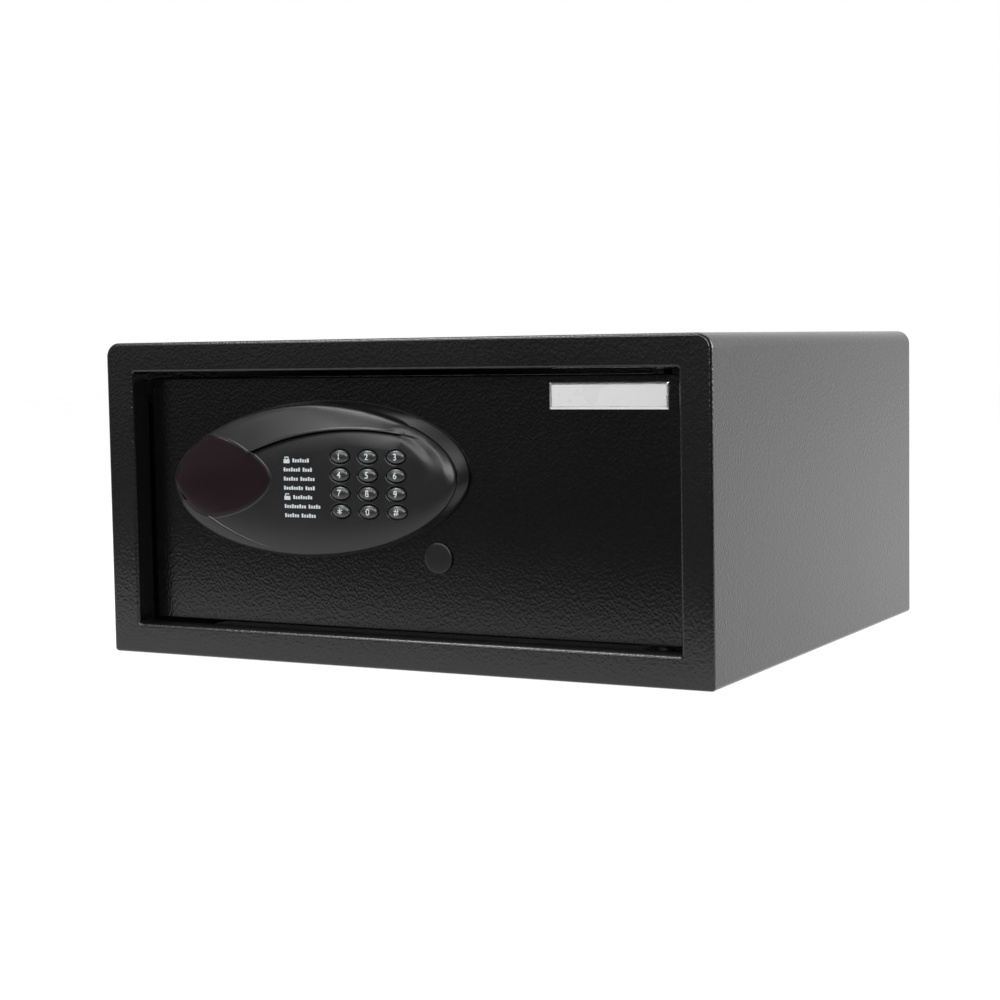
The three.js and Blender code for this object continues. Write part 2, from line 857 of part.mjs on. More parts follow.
// Inner cover, batteries, control board and reset button
const trayWidth = cellPitch * cellCount + trayWall * 2;
const trayHeight = cellLength + cellNubLength + traySpringRoom + trayWall * 2;
const trayRight = coverRight - trayFromCoverRight;
const trayLeft = trayRight - trayWidth;
const trayTop = coverTop - trayFromCoverTop;
const trayBottom = trayTop - trayHeight;
const trayBack = coverBack + coverSheet + seat;
const trayFront = trayBack + cellRadius * 2 + seat * 2 + trayWall;
const coverFrame = { left: coverLeft, right: coverRight, bottom: coverBottom, top: coverTop };
const coverScrewPlaces = [
  [coverLeft + coverScrewInset, coverTop - coverScrewInset],
  [coverRight - coverScrewInset, coverTop - coverScrewInset],
  [coverLeft + coverScrewInset, coverBottom + coverScrewInset],
  [coverRight - coverScrewInset, coverBottom + coverScrewInset],
];
const resetX = coverLeft + resetFromCoverLeft;
const resetY = coverTop - resetFromCoverTop;

function innerCover() {
  const outline = roundedFrame(coverFrame, coverCornerRadius, coverCornerRadius, 0);
  const inner = roundedFrame(coverFrame, coverCornerRadius, coverCornerRadius, coverSheet);
  const outside = skinned([{ z: coverBack, points: outline }, { z: coverFront, points: outline }]);
  const hollow = skinned([
    { z: coverBack + coverSheet, points: inner },
    { z: coverFront + overrun, points: inner },
  ]);
  let cover = outside.subtract(hollow);
  for (const y of boltHeights) {
    const radius = boltRadius + keeperHoleGap;
    const hole = rodAlongX(radius, coverLeft - overrun, coverLeft + coverSheet + overrun, y, boltZ);
    cover = cover.subtract(hole);
  }
  const z0 = coverBack - overrun;
  const z1 = coverBack + coverSheet + overrun;
  cover = cover.subtract(box(
    trayLeft + trayWall, trayRight - trayWall, trayBottom + trayWall, trayTop - trayWall, z0, z1,
  ));
  for (const [x, y] of coverScrewPlaces) {
    cover = cover.subtract(rodAlongZ(coverScrewRadius + seat, z0, z1, x, y, smallRoundSides));
  }
  return cover.subtract(rodAlongZ(resetRadius + runningGap, z0, z1, resetX, resetY, smallRoundSides));
}

function coverScrew() {
  const tip = coverFront - seat;
  const under = coverBack - seat;
  return turned([
    [0, under - coverScrewHeadHeight],
    [coverScrewHeadRadius / 2, under - coverScrewHeadHeight],
    [coverScrewHeadRadius, under - coverScrewHeadHeight / 2],
    [coverScrewHeadRadius, under],
    [coverScrewRadius, under],
    [coverScrewRadius, tip],
    [0, tip],
  ], smallRoundSides);
}

function batteryTray() {
  const outside = box(trayLeft, trayRight, trayBottom, trayTop, trayBack, trayFront);
  const hollow = box(
    trayLeft + trayWall, trayRight - trayWall, trayBottom + trayWall, trayTop - trayWall,
    trayBack - overrun, trayFront - trayWall,
  );
  return outside.subtract(hollow);
}

function batteryCell() {
  const cell = turned([
    [0, 0],
    [cellRadius, 0],
    [cellRadius, cellLength],
    [cellNubRadius, cellLength],
    [cellNubRadius, cellLength + cellNubLength],
    [0, cellLength + cellNubLength],
  ], smallRoundSides);
  return cell;
}

function batteryCover() {
  const z1 = coverBack - seat;
  const z0 = z1 - batteryCoverSheet;
  const frame = {
    left: trayLeft - batteryCoverLap,
    right: trayRight + batteryCoverLap,
    bottom: trayBottom - batteryCoverLap,
    top: trayTop + batteryCoverLap,
  };
  const outline = roundedFrame(frame, coverCornerRadius, coverCornerRadius, 0);
  let lid = skinned([{ z: z0, points: outline }, { z: z1, points: outline }]);
  const middleY = (frame.bottom + frame.top) / 2;
  for (let rib = 0; rib < gripRibs; rib += 1) {
    const x = frame.right - batteryCoverLap - rib * gripRibPitch;
    lid = lid.add(box(
      x - gripRibWidth, x, middleY - gripRibLength / 2, middleY + gripRibLength / 2,
      z0 - gripRibHeight, z0 + batteryCoverSheet / 2,
    ));
  }
  return lid;
}

// The board stands on four short posts on the inside of the door.
function controlBoard() {
  const right = trayRight;
  const left = right - controlBoardWidth;
  const bottom = coverBottom + coverScrewInset * 2;
  const top = bottom + controlBoardHeight;
  const z1 = doorInner - boardStandoff;
  const z0 = z1 - boardThickness;
  let board = box(left, right, bottom, top, z0, z1);
  for (const x of [left + boardPostRadius * 2, right - boardPostRadius * 2]) {
    for (const y of [bottom + boardPostRadius * 2, top - boardPostRadius * 2]) {
      const middle = z0 + boardThickness / 2;
      board = board.add(rodAlongZ(boardPostRadius, middle, doorInner - seat, x, y, smallRoundSides));
    }
  }
  return board;
}

// The reset button's flange bears on the inside of the cover, and its shank shows outside.
function resetButton() {
  const tip = coverBack - resetProud;
  const flangeBack = coverBack + coverSheet + seat;
  return turned([
    [0, tip],
    [resetRadius, tip],
    [resetRadius, flangeBack],
    [resetRadius + resetFlange, flangeBack],
    [resetRadius + resetFlange, flangeBack + resetFlange],
    [resetRadius, flangeBack + resetFlange],
    [resetRadius, flangeBack + resetBody],
    [0, flangeBack + resetBody],
  ], smallRoundSides);
}

// The switch body is fixed to the door behind the button and leaves room for its travel.
function resetSwitch() {
  const buttonEnd = coverBack + coverSheet + seat + resetBody;
  const half = resetRadius + resetFlange;
  return box(
    resetX - half, resetX + half, resetY - half, resetY + half,
    buttonEnd + resetTravel + seat, doorInner - seat,
  );
}

place(door, "inner_cover", innerCover(), blackCoat());
coverScrewPlaces.forEach(([x, y], index) => {
  place(door, `cover_screw_${index + 1}`, coverScrew(), plainSteel(), [x, y, 0]);
});
place(door, "battery_tray", batteryTray(), blackPlastic());
for (let index = 0; index < cellCount; index += 1) {
  const x = trayLeft + trayWall + cellPitch * (index + 1 / 2);
  const y = trayBottom + trayWall + traySpringRoom / 2;
  const z = trayFront - trayWall - seat - cellRadius;
  const cell = place(door, `battery_${index + 1}`, batteryCell(), cellWrap(), [x, y, z]);
  cell.rotation.x = -Math.PI / 2;
}
place(door, "battery_cover", batteryCover(), blackPlastic());
place(door, "control_board", controlBoard(), greenBoard());
place(door, "reset_button", resetButton(), redPlastic(), [resetX, resetY, 0]);
place(door, "reset_switch", resetSwitch(), blackPlastic());

// Oval keypad panel, in its own group: x and y from the panel's centre, z from the door's face
const panel = groupAt(door, panelX, panelY, doorFace + seat);

// A leaning oval: its point at an angle, drawn inwards by an inset.
function ovalPoint(angle, inset) {
  const power = 2 / panelFullness;
  const c = Math.cos(angle);
  const s = Math.sin(angle);
  const across = (panelHalfWidth - inset) * Math.sign(c) * Math.abs(c) ** power;
  const up = (panelHalfHeight - inset) * Math.sign(s) * Math.abs(s) ** power;
  return [across + panelLean * up, up];
}

// How far out a point lies in the dome's oval: 0 at its centre and 1 at its edge.
function ovalReach(x, y) {
  const up = Math.abs(y) / (panelHalfHeight - chamferLeastWidth);
  const across = Math.abs(x - panelLean * y) / (panelHalfWidth - chamferLeastWidth);
  return (up ** panelFullness + across ** panelFullness) ** (1 / panelFullness);
}

// The chamfer of the skirt is widest at the upper right and narrowest at the lower left.
function chamferAt(angle) {
  const share = Math.max(Math.cos(angle - chamferTurn), 0) ** 2;
  return chamferLeastWidth + (chamferWidth - chamferLeastWidth) * share;
}

function domeAt(reach) {
  const fall = Math.min(reach, 1) ** domeFullness;
  return skirtHeight + chamferHeight + domeHeight * (1 - fall) ** (1 / domeFullness);
}

// A rise that is whole at one side, fades along x and ends a little under the dome's surface.
function fading(rise, endX, length) {
  return (x) => {
    const share = Math.min(Math.max((endX - x) / length, 0), 1);
    return share > 0 ? rise * share : -fadedDrop;
  };
}

// The moulding's domed body, raised by riseAt and drawn in by a wall.
function domedBody(riseAt, wall, sides, rings) {
  const angles = Array.from({ length: sides }, (_, i) => (i * 2 * Math.PI) / sides);
  const ring = (insetAt, z) => ({
    z,
    points: angles.map((angle) => ovalPoint(angle, insetAt(angle))),
  });
  const shoulder = skirtHeight + chamferHeight;
  const sections = [
    ring(() => wall, wall > 0 ? -overrun : 0),
    ring(() => wall, skirtHeight - wall / 2),
    ring((angle) => chamferAt(angle) + wall, shoulder - wall),
  ];
  for (let step = 1; step <= rings; step += 1) {
    const turn = (step / (rings + crownShare)) * (Math.PI / 2);
    const reach = Math.sqrt(Math.cos(turn));
    const points = angles.map((angle) => {
      const [edgeX, edgeY] = ovalPoint(angle, chamferAt(angle) + wall);
      const x = edgeX * reach;
      const y = edgeY * reach;
      return [x, y, domeAt(reach) - wall + riseAt(x, y) * (1 - reach ** 8)];
    });
    sections.push({ points });
  }
  return skinned(sections);
}

// What lies beyond an arc: above its peak where side is 1, and below it where side is -1.
function beyondArc(peakX, peakY, radius, side) {
  const reach = panelHalfWidth * 2;
  const centreY = peakY - side * radius;
  const disc = rodAlongZ(radius, -overrun, reach + overrun, peakX, centreY, panelSides * 2);
  const half = box(-reach, reach, side > 0 ? 0 : -reach, side > 0 ? reach : 0, 0, reach);
  return half.subtract(disc);
}

// The window is a leaf: each quarter of its outline has its own fullness.
function windowPoint(angle, inset) {
  const c = Math.cos(angle);
  const s = Math.sin(angle);
  const quarter = Math.floor(((angle / Math.PI) * 2) % 4);
  const power = 2 / windowFullnesses[quarter];
  const across = (c > 0 ? windowTipReach - windowNearReach : windowFarReach - windowTipReach) - inset;
  const up = (s > 0 ? windowRise - windowSideRise : windowDrop + windowSideRise) - inset;
  return [
    Math.sign(c) * across * Math.abs(c) ** power - windowTipReach,
    Math.sign(s) * up * Math.abs(s) ** power + windowSideRise,
  ];
}

const windowAngles = Array.from(
  { length: windowSides },
  (_, i) => ((i + 1 / 2) * 2 * Math.PI) / windowSides,
);

function windowPrism(inset, z0, z1) {
  const points = windowAngles.map((angle) => windowPoint(angle, inset));
  return skinned([{ z: z0, points }, { z: z1, points }]);
}

function windowSurface([x, y]) {
  return domeAt(ovalReach(x, y)) + windowProud;
}

function displayWindow() {
  const edge = windowAngles.map((angle) => windowPoint(angle, 0));
  const sections = [
    { z: windowFloor + seat, points: edge },
    { points: edge.map(([x, y]) => [x, y, windowSurface([x, y]) - windowBevel]) },
  ];
  for (let step = 0; step <= windowRings; step += 1) {
    const reach = 1 - step / (windowRings + 1);
    const points = windowAngles.map((angle) => {
      const [edgeX, edgeY] = windowPoint(angle, windowBevel);
      const x = (edgeX + windowTipReach) * reach - windowTipReach;
      const y = (edgeY - windowSideRise) * reach + windowSideRise;
      return [x, y, windowSurface([x, y])];
    });
    sections.push({ points });
  }
  return skinned(sections);
}

// Keys
const keyNames = ["1", "2", "3", "4", "5", "6", "7", "8", "9", "star", "0", "hash"];
const keyPlaces = keyNames.map((name, index) => ({
  name: `key_${name}`,
  x: keypadX + ((index % keyColumns) - (keyColumns - 1) / 2) * keyPitchX,
  y: ((keyRows - 1) / 2 - Math.floor(index / keyColumns)) * keyPitchY - keypadDrop,
}));
const matBottom = keyBoardThickness + seat;
const matTop = matBottom + keyMatThickness;

function ovalRing(growth, z) {
  const points = [];
  for (let i = 0; i < keySides; i += 1) {
    const angle = (i * 2 * Math.PI) / keySides;
    points.push([(keyHalfWidth + growth) * Math.cos(angle), (keyHalfHeight + growth) * Math.sin(angle)]);
  }
  return { z, points };
}

function faceHeight({ x, y }) {
  return domeAt(ovalReach(x, y));
}

// The lowest point of the moulding's inner face round a key's flange.
function ceilingOver({ x, y }) {
  const corners = ovalRing(keyFlangeLap, 0).points;
  return Math.min(...corners.map(([dx, dy]) => domeAt(ovalReach(x + dx, y + dy)))) - panelWall;
}

function keyWell(key) {
  const top = faceHeight(key);
  return skinned([
    ovalRing(keyWellGap, matTop),
    ovalRing(keyWellGap, top - keyWellFlareDepth),
    ovalRing(keyWellGap + keyWellFlare, top),
    ovalRing(keyWellGap + keyWellFlare, top + overrun),
  ]).translate([key.x, key.y, 0]);
}

function keyCap(key) {
  const top = faceHeight(key) + keyProud;
  const lapTop = ceilingOver(key) - keyFlangeDrop;
  return skinned([
    ovalRing(-keyPlungerInset, matTop + keyTravel + seat),
    ovalRing(-keyPlungerInset, lapTop - keyFlange),
    ovalRing(keyFlangeLap, lapTop - keyFlange),
    ovalRing(keyFlangeLap, lapTop),
    ovalRing(0, lapTop),
    ovalRing(0, top - keyCrown),
    ovalRing(-keyHalfHeight / 8, top - keyCrown / 2),
    ovalRing(-keyHalfHeight / 3, top - keyCrown / 8),
    ovalRing(-keyHalfHeight / 3 * 2, top),
  ]);
}

// The sweep is highest along the crease and falls off toward the panel's upper edge.
function sweepHeight(x, y) {
  const beyond = Math.hypot(x - sweepPeakX, y - sweepPeakY + sweepRadius) - sweepRadius;
  const fall = Math.min(Math.max(beyond / (panelHalfHeight - sweepPeakY), 0), 1);
  return fading(sweepRise, sweepEndX, sweepFadeLength)(x) * (1 - fall);
}

// The moulding is the dome, the sweep over the crease and the lip under the window, made hollow.
function panelMoulding() {
  const dome = domedBody(() => 0, 0, panelSides, domeRings);
  const sweep = domedBody(sweepHeight, 0, panelSides, domeRings)
    .intersect(beyondArc(sweepPeakX, sweepPeakY, sweepRadius, 1));
  const lipHeight = fading(lipRise, -lipEndLeft, lipFadeLength);
  const lip = domedBody(lipHeight, 0, panelSides, domeRings)
    .intersect(beyondArc(lipPeakX, -lipPeakDrop, lipRadius, -1));
  const windowCeiling = windowFloor + domeHeight * 2;
  const ledge = windowPrism(-windowRimWall, windowFloor - windowFloorSheet, windowCeiling);
  const hollow = domedBody(() => 0, panelWall, hollowSides, hollowRings).subtract(ledge);
  let moulding = dome.add(sweep).add(lip).subtract(hollow);
  moulding = moulding.subtract(windowPrism(-seat, windowFloor, windowCeiling));
  moulding = moulding.subtract(windowPrism(windowLedge, -overrun, windowFloor + overrun));
  for (const key of keyPlaces) {
    moulding = moulding.subtract(keyWell(key));
  }
  return moulding;
}

const keysLeft = keyPlaces[0].x - keyHalfWidth;
const keysRight = keyPlaces[keyColumns - 1].x + keyHalfWidth;
const keysTop = keyPlaces[0].y + keyHalfHeight;
const keysBottom = keyPlaces[keyPlaces.length - 1].y - keyHalfHeight;

function keyboardCard() {
  return box(
    -displayReach - displayWidth / 2, keysRight + keyMatMargin,
    keysBottom - keyBoardMargin / 2, keysTop + keyBoardMargin / 2, 0, keyBoardThickness,
  );
}

function keyMat() {
  return box(
    keysLeft - keyMatMargin, keysRight + keyMatMargin,
    keysBottom - keyMatMargin, keysTop + keyMatMargin, matBottom, matTop,
  );
}

function displayModule() {
  return box(
    -displayReach - displayWidth / 2, -displayReach + displayWidth / 2,
    displayRise - displayHeight / 2, displayRise + displayHeight / 2,
    keyBoardThickness + seat, keyBoardThickness + seat + displayDepth,
  );
}

place(panel, "keypad_panel", panelMoulding(), panelPlastic());
place(panel, "display_window", displayWindow(), smokedWindow());
place(panel, "display_module", displayModule(), redPlastic());
place(panel, "keyboard_card", keyboardCard(), greenBoard());
place(panel, "key_mat", keyMat(), greyRubber());
for (const key of keyPlaces) {
  place(panel, key.name, keyCap(key), keyPlastic(), [key.x, key.y, 0]);
}

// Emergency lock, in its own group: x and y from the lock's axis
const lock = groupAt(door, lockX, lockY, 0);
const lockBodyBack = doorInner - seat - lockBodyLength;
const lockNoseFront = doorFace - lockNoseSetBack;

function lockHousing() {
  const outside = turned([
    [0, lockBodyBack],
    [lockBodyRadius, lockBodyBack],
    [lockBodyRadius, doorInner - seat],
    [lockNoseRadius, doorInner - seat],
    [lockNoseRadius, lockNoseFront],
    [0, lockNoseFront],
  ]);
  const bore = rodAlongZ(coreRadius + runningGap, lockBodyBack - overrun, lockNoseFront + overrun, 0, 0);
  return outside.subtract(bore);
}

// The core turns in the housing: a keyway in front and a cam behind.
function lockCore() {
  const coreFront = lockNoseFront - coreSetBack;
  const camFront = lockBodyBack - seat;
  const barrel = rodAlongZ(coreRadius, camFront - camSheet, coreFront, 0, 0);
  const keyway = box(
    -keywayWidth / 2, keywayWidth / 2, -keywayHeight / 2, keywayHeight / 2,
    coreFront - keywayDepth, coreFront + overrun,
  );
  const cam = box(-camWidth / 2, camWidth / 2, -camLength, 0, camFront - camSheet, camFront);
  return barrel.subtract(keyway).add(cam);
}

function lockCover() {
  const under = doorFace + seat;
  const rim = under + lockCoverThickness;
  const stemRadius = lockHoleRadius - lockCoverStemGap;
  return turned([
    [0, doorFace - lockCoverStem],
    [stemRadius, doorFace - lockCoverStem],
    [stemRadius, under],
    [lockCoverRadius, under],
    [lockCoverRadius, rim - lockCoverCrown],
    [lockCoverRadius - lockCoverCrown, rim],
    [lockCoverRadius / 2, rim + lockCoverCrown / 2],
    [0, rim + lockCoverCrown / 2],
  ]);
}

place(lock, "lock_housing", lockHousing(), brass());
place(lock, "lock_core", lockCore(), plainSteel());
place(lock, "lock_cover", lockCover(), blackPlastic());

export default safe;
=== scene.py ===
"""Room safe: the visible pieces, finishes, light and camera around the packed frame. Metres."""
import math

import bmesh
import bpy
from bpy.props import FloatProperty, FloatVectorProperty, PointerProperty
from mathutils import Matrix, Vector


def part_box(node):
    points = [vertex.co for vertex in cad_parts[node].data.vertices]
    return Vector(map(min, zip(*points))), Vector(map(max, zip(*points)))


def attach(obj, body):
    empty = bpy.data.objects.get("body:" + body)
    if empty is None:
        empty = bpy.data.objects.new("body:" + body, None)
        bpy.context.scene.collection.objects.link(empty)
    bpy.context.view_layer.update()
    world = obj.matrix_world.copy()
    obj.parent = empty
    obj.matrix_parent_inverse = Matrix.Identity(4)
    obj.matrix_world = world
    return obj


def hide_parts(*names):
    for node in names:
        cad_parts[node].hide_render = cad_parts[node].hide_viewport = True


bl_info = {
    "name": "Room Safe",
    "version": (1, 0, 0),
    "blender": (4, 5, 0),
    "location": "View3D > Sidebar > Room Safe",
    "description": "Builds a room safe with a recessed door and an oval keypad panel",
    "category": "Add Mesh",
}

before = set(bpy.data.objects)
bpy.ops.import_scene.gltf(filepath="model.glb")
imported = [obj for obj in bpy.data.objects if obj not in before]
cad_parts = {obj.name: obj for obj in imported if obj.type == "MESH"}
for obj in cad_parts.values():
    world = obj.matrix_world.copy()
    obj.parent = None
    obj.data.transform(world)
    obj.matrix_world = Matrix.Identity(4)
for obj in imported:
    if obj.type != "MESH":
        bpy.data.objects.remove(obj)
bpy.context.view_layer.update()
MM = 0.001
TURN = 2 * math.pi
SHARP = 32.0
ANCHOR_X = 100 * MM
ANCHOR_Y = 20 * MM
KEY_SIDES = 48
WINDOW_SIDES = 96
KEYS = ["1", "2", "3", "4", "5", "6", "7", "8", "9", "star", "0", "hash"]
FIGURES = {"star": "*", "hash": "#"}


def length(name, description, millimetres):
    """A length that the user may change, stored in metres."""
    return FloatProperty(
        name=name, description=description, default=millimetres * MM, unit="LENGTH", precision=5,
    )


def tint(name, description, value):
    """A linear colour that the user may change."""
    return FloatVectorProperty(name=name, description=description, default=value, size=3, subtype="COLOR")


class RoomSafeSizes(bpy.types.PropertyGroup):
    """Sizes of the visible pieces"""

    sheet: length("Sheet", "Thickness of the cabinet's sheet", 2)
    top_fold: length("Top fold", "Outer radius of the folds along the top", 9)
    bottom_fold: length("Bottom fold", "Outer radius of the folds along the bottom", 2.4)
    front_edge: length("Front edge", "Rounding round the front of the cabinet", 2)
    doorway_edge: length("Doorway edge", "Rounding round the doorway in the flange", 2.2)
    flange: length("Flange", "Width of the front flange at the right", 20)
    flange_left: length("Left flange", "Width of the front flange at the left", 20.7)
    flange_top: length("Top flange", "Height of the front flange over the doorway", 19)
    jamb_depth: length("Jamb depth", "How far the doorway's return runs back", 16)
    jamb_sheet: length("Jamb sheet", "Thickness of the doorway's return", 1.5)
    door_edge: length("Door edge", "Rounding round the door's face", 1.5)
    anchor: length("Anchor hole", "Radius of the holes for the anchor bolts", 5)
    lock_hole: length("Lock hole", "Radius of the hole behind the lock's cover", 8.2)
    mat_hole: length("Mat hole", "Radius of the holes in the mat over the anchor bolts", 13)
    panel_half_width: length("Panel half width", "Half the keypad panel's width", 107)
    panel_half_height: length("Panel half height", "Half the keypad panel's height", 48.9)
    skirt: length("Skirt", "Height of the panel's upright skirt", 1.6)
    chamfer_height: length("Chamfer height", "Height of the slope over the skirt", 4)
    chamfer_width: length("Chamfer width", "Widest part of the slope over the skirt", 6.5)
    chamfer_least: length("Chamfer least width", "Narrowest part of the slope over the skirt", 1.2)
    dome: length("Dome", "Height of the panel's dome over the slope", 7)
    sweep: length("Sweep", "Height of the raised sweep over the crease", 3.2)
    swell: length("Swell", "How far the face swells before the hollow", 0.3)
    hollow: length("Hollow", "Depth of the hollow past the crease's end", 1.2)
    ridge: length("Ridge", "Fall of the ridge round the hollow", 0.6)
    crease: length("Crease", "Depth of the groove along the crease", 0.8)
    dip: length("Dip", "How far the face dips toward the crease", 1.05)
    lip: length("Lip", "Height of the raised lip under the window", 0.8)
    key_half_width: length("Key half width", "Half a key's width", 6.6)
    key_half_height: length("Key half height", "Half a key's height", 4.1)
    key_proud: length("Key height", "How far a key stands over the panel", 1.6)
    key_crown: length("Key crown", "Height of the rounded part of a key", 2)
    plate_bevel: length("Plate bevel", "Width of the slope round the bare plate", 1.2)
    bolt: length("Bolt", "Radius of a bolt", 8)
    bolt_length: length("Bolt length", "Length of a bolt's thick part", 35.7)
    bolt_nose: length("Bolt nose", "Slope at a bolt's end", 2)
    bolt_neck: length("Bolt neck", "Radius of a bolt's thin end", 4)


class RoomSafeColours(bpy.types.PropertyGroup):
    """Colours of the finishes"""

    coat: tint("Coat", "The powder coat", (0.0066, 0.0066, 0.0068))
    panel: tint("Panel", "The keypad panel's plastic", (0.009, 0.009, 0.0092))
    key: tint("Keys", "The keys' plastic", (0.0135, 0.0145, 0.0155))
    window: tint("Window", "The smoked window", (0.0125, 0.0072, 0.009))
    ink: tint("Ink", "The printed figures", (0.53, 0.57, 0.6))
    plate: tint("Plate", "The bare metal plate", (0.78, 0.78, 0.78))
    steel: tint("Steel", "Plain turned steel", (0.52, 0.52, 0.53))
    zinc: tint("Zinc", "Zinc plated steel", (0.5, 0.5, 0.46))
    brass: tint("Brass", "Turned brass", (0.6, 0.43, 0.18))
    plastic: tint("Plastic", "Plain black mouldings", (0.02, 0.02, 0.022))
    red: tint("Red", "Red plastic", (0.35, 0.02, 0.02))
    board: tint("Board", "Circuit board lacquer", (0.02, 0.1, 0.045))
    rubber: tint("Rubber", "The rubber under the keys", (0.09, 0.09, 0.095))
    felt: tint("Felt", "The floor mat", (0.03, 0.03, 0.035))
    wrap: tint("Cell sleeve", "The sleeve of the battery cells", (0.05, 0.1, 0.25))


class RoomSafe(bpy.types.PropertyGroup):
    """What a user may change on the room safe"""

    sizes: PointerProperty(type=RoomSafeSizes, name="Sizes", description="Sizes of the visible pieces")
    colours: PointerProperty(type=RoomSafeColours, name="Colours", description="Colours of the finishes")


def sizes():
    """The sizes in use."""
    return bpy.context.scene.room_safe.sizes


def colours():
    """The colours in use."""
    return bpy.context.scene.room_safe.colours


# Shader maths

class Wire:
    """A node's output that takes part in arithmetic. Each expression adds its node to the same tree."""

    def __init__(self, tree, socket):
        self.tree = tree
        self.socket = socket

    def reckon(self, operation, *values):
        """One Math or Vector Math node over these values, by what they carry."""
        carries_vector = any(
            isinstance(value, (tuple, Vector))
            or (isinstance(value, Wire) and value.socket.type in {"VECTOR", "RGBA"})
            for value in values
        )
        kind = "ShaderNodeVectorMath" if carries_vector else "ShaderNodeMath"
        if carries_vector:
            values = [(value,) * 3 if isinstance(value, (int, float)) else value for value in values]
        return self.tree.add(kind, {"operation": operation}, dict(enumerate(values)))

    def __add__(self, other):
        return self.reckon("ADD", self, other)

    __radd__ = __add__

    def __sub__(self, other):
        return self.reckon("SUBTRACT", self, other)

    def __rsub__(self, other):
        return self.reckon("SUBTRACT", other, self)

    def __mul__(self, other):
        return self.reckon("MULTIPLY", self, other)

    __rmul__ = __mul__

    def larger(self, other):
        """The larger of this and another value."""
        return self.reckon("MAXIMUM", self, other)

    def parts(self):
        """This vector's x, y and z."""
        node = self.tree.node("ShaderNodeSeparateXYZ", {}, {0: self})
        return [Wire(self.tree, node.outputs[index]) for index in range(3)]


class Tree:
    """Adds nodes to the tree of one material, lamp or world."""

    def __init__(self, owner):
        owner.use_nodes = True
        self.nodes = owner.node_tree.nodes
        self.links = owner.node_tree.links
        self.nodes.clear()

    def node(self, kind, settings=None, inputs=None):
        """One node: its settings first, then the values or links of its sockets."""
        node = self.nodes.new(kind)
        for name, value in (settings or {}).items():
            setattr(node, name, value)
        for name, value in (inputs or {}).items():
            self.feed(node.inputs[name], value)
        return node

    def add(self, kind, settings=None, inputs=None, output=0):
        """One node, as a wire from one of its outputs."""
        return Wire(self, self.node(kind, settings, inputs).outputs[output])

    def feed(self, socket, value):
        """Links a wire to a socket, or sets the socket's own value."""
        if isinstance(value, Wire):
            self.links.new(value.socket, socket)
        elif socket.type == "RGBA" and len(value) == 3:
            socket.default_value = (*value, 1)
        else:
            socket.default_value = value

    def place(self):
        """The object's own coordinates, in metres."""
        return self.add("ShaderNodeTexCoord", {}, {}, "Object")

    def noise(self, vector, scale, detail=2.0, roughness=0.5, distortion=0.0):
        """Noise from 0 to 1, scale lumps to a metre."""
        return self.add(
            "ShaderNodeTexNoise", {"noise_dimensions": "3D"},
            {
                "Vector": vector, "Scale": scale, "Detail": detail,
                "Roughness": roughness, "Distortion": distortion,
            },
            "Fac",
        )

    def pebbles(self, vector, scale):
        """Round lumps that run into each other, scale of them to a metre."""
        return self.add(
            "ShaderNodeTexVoronoi", {"voronoi_dimensions": "3D", "feature": "SMOOTH_F1"},
            {"Vector": vector, "Scale": scale, "Smoothness": 0.7, "Randomness": 1.0}, "Distance",
        )

    def span(self, value, low, high, to_low=0.0, to_high=1.0):
        """The value spread from one range to another, and clamped."""
        return self.add(
            "ShaderNodeMapRange", {"clamp": True},
            {"Value": value, "From Min": low, "From Max": high, "To Min": to_low, "To Max": to_high},
        )

    def mix(self, factor, low, high):
        """A mix of two colours."""
        node = self.node("ShaderNodeMix", {"data_type": "RGBA"})
        self.feed(node.inputs["Factor"], factor)
        self.feed(node.inputs[6], low)
        self.feed(node.inputs[7], high)
        return Wire(self, node.outputs[2])

    def bump(self, height, strength, distance):
        """A bumped normal."""
        inputs = {"Height": height, "Strength": strength, "Distance": distance}
        return self.add("ShaderNodeBump", {}, inputs)


def finish(name, base, roughness, normal=None, metallic=0.0, specular=0.5, sheen=None):
    """A material from a surface that is worked out by the given functions of its tree."""
    material = bpy.data.materials.new(name)
    tree = Tree(material)
    inputs = {
        "Base Color": base(tree), "Roughness": roughness(tree),
        "Metallic": metallic, "Specular IOR Level": specular,
    }
    if normal:
        inputs["Normal"] = normal(tree)
    if sheen:
        inputs["Sheen Weight"], inputs["Sheen Roughness"] = sheen
    shader = tree.add("ShaderNodeBsdfPrincipled", {}, inputs)
    tree.node("ShaderNodeOutputMaterial", {}, {"Surface": shader})
    return material


def between_shades(tree, factor, color, low, high):
    """A mix of a darker and a lighter shade of a colour."""
    return tree.mix(factor, tuple(part * low for part in color), tuple(part * high for part in color))


def varied(color, scale, depth):
    """A colour that drifts a little lighter and darker."""
    return lambda tree: between_shades(
        tree, tree.noise(tree.place(), scale, 3.0), color, 1 - depth, 1 + depth,
    )


def uneven(low, high, scale, detail=3.0):
    """A roughness that wanders between two values."""
    return lambda tree: tree.span(tree.noise(tree.place(), scale, detail), 0.3, 0.7, low, high)


def brushed(low, high, axis_scale):
    """A roughness in streaks along an axis."""
    return lambda tree: tree.span(tree.noise(tree.place() * axis_scale, 1, 3), 0.3, 0.7, low, high)


def grain(scale, distance):
    """A fine and even grain."""
    return lambda tree: tree.bump(tree.noise(tree.place(), scale), 1.0, distance)


def turned_marks(axis_scale, distance=0.00002):
    """The marks of a tool along an axis."""
    return lambda tree: tree.bump(tree.noise(tree.place() * axis_scale, 1, 2), 0.6, distance)


def coat_normal(tree):
    """The orange peel of a thick powder coat: broad lumps with finer ones over them."""
    place = tree.place()
    lumps = tree.pebbles(place * (1.1, 1.1, 0.9), 600)
    grains = tree.noise(place, 1700, 1.0)
    return tree.bump(lumps * 0.8 + grains * 0.2, 1.0, 0.00016)


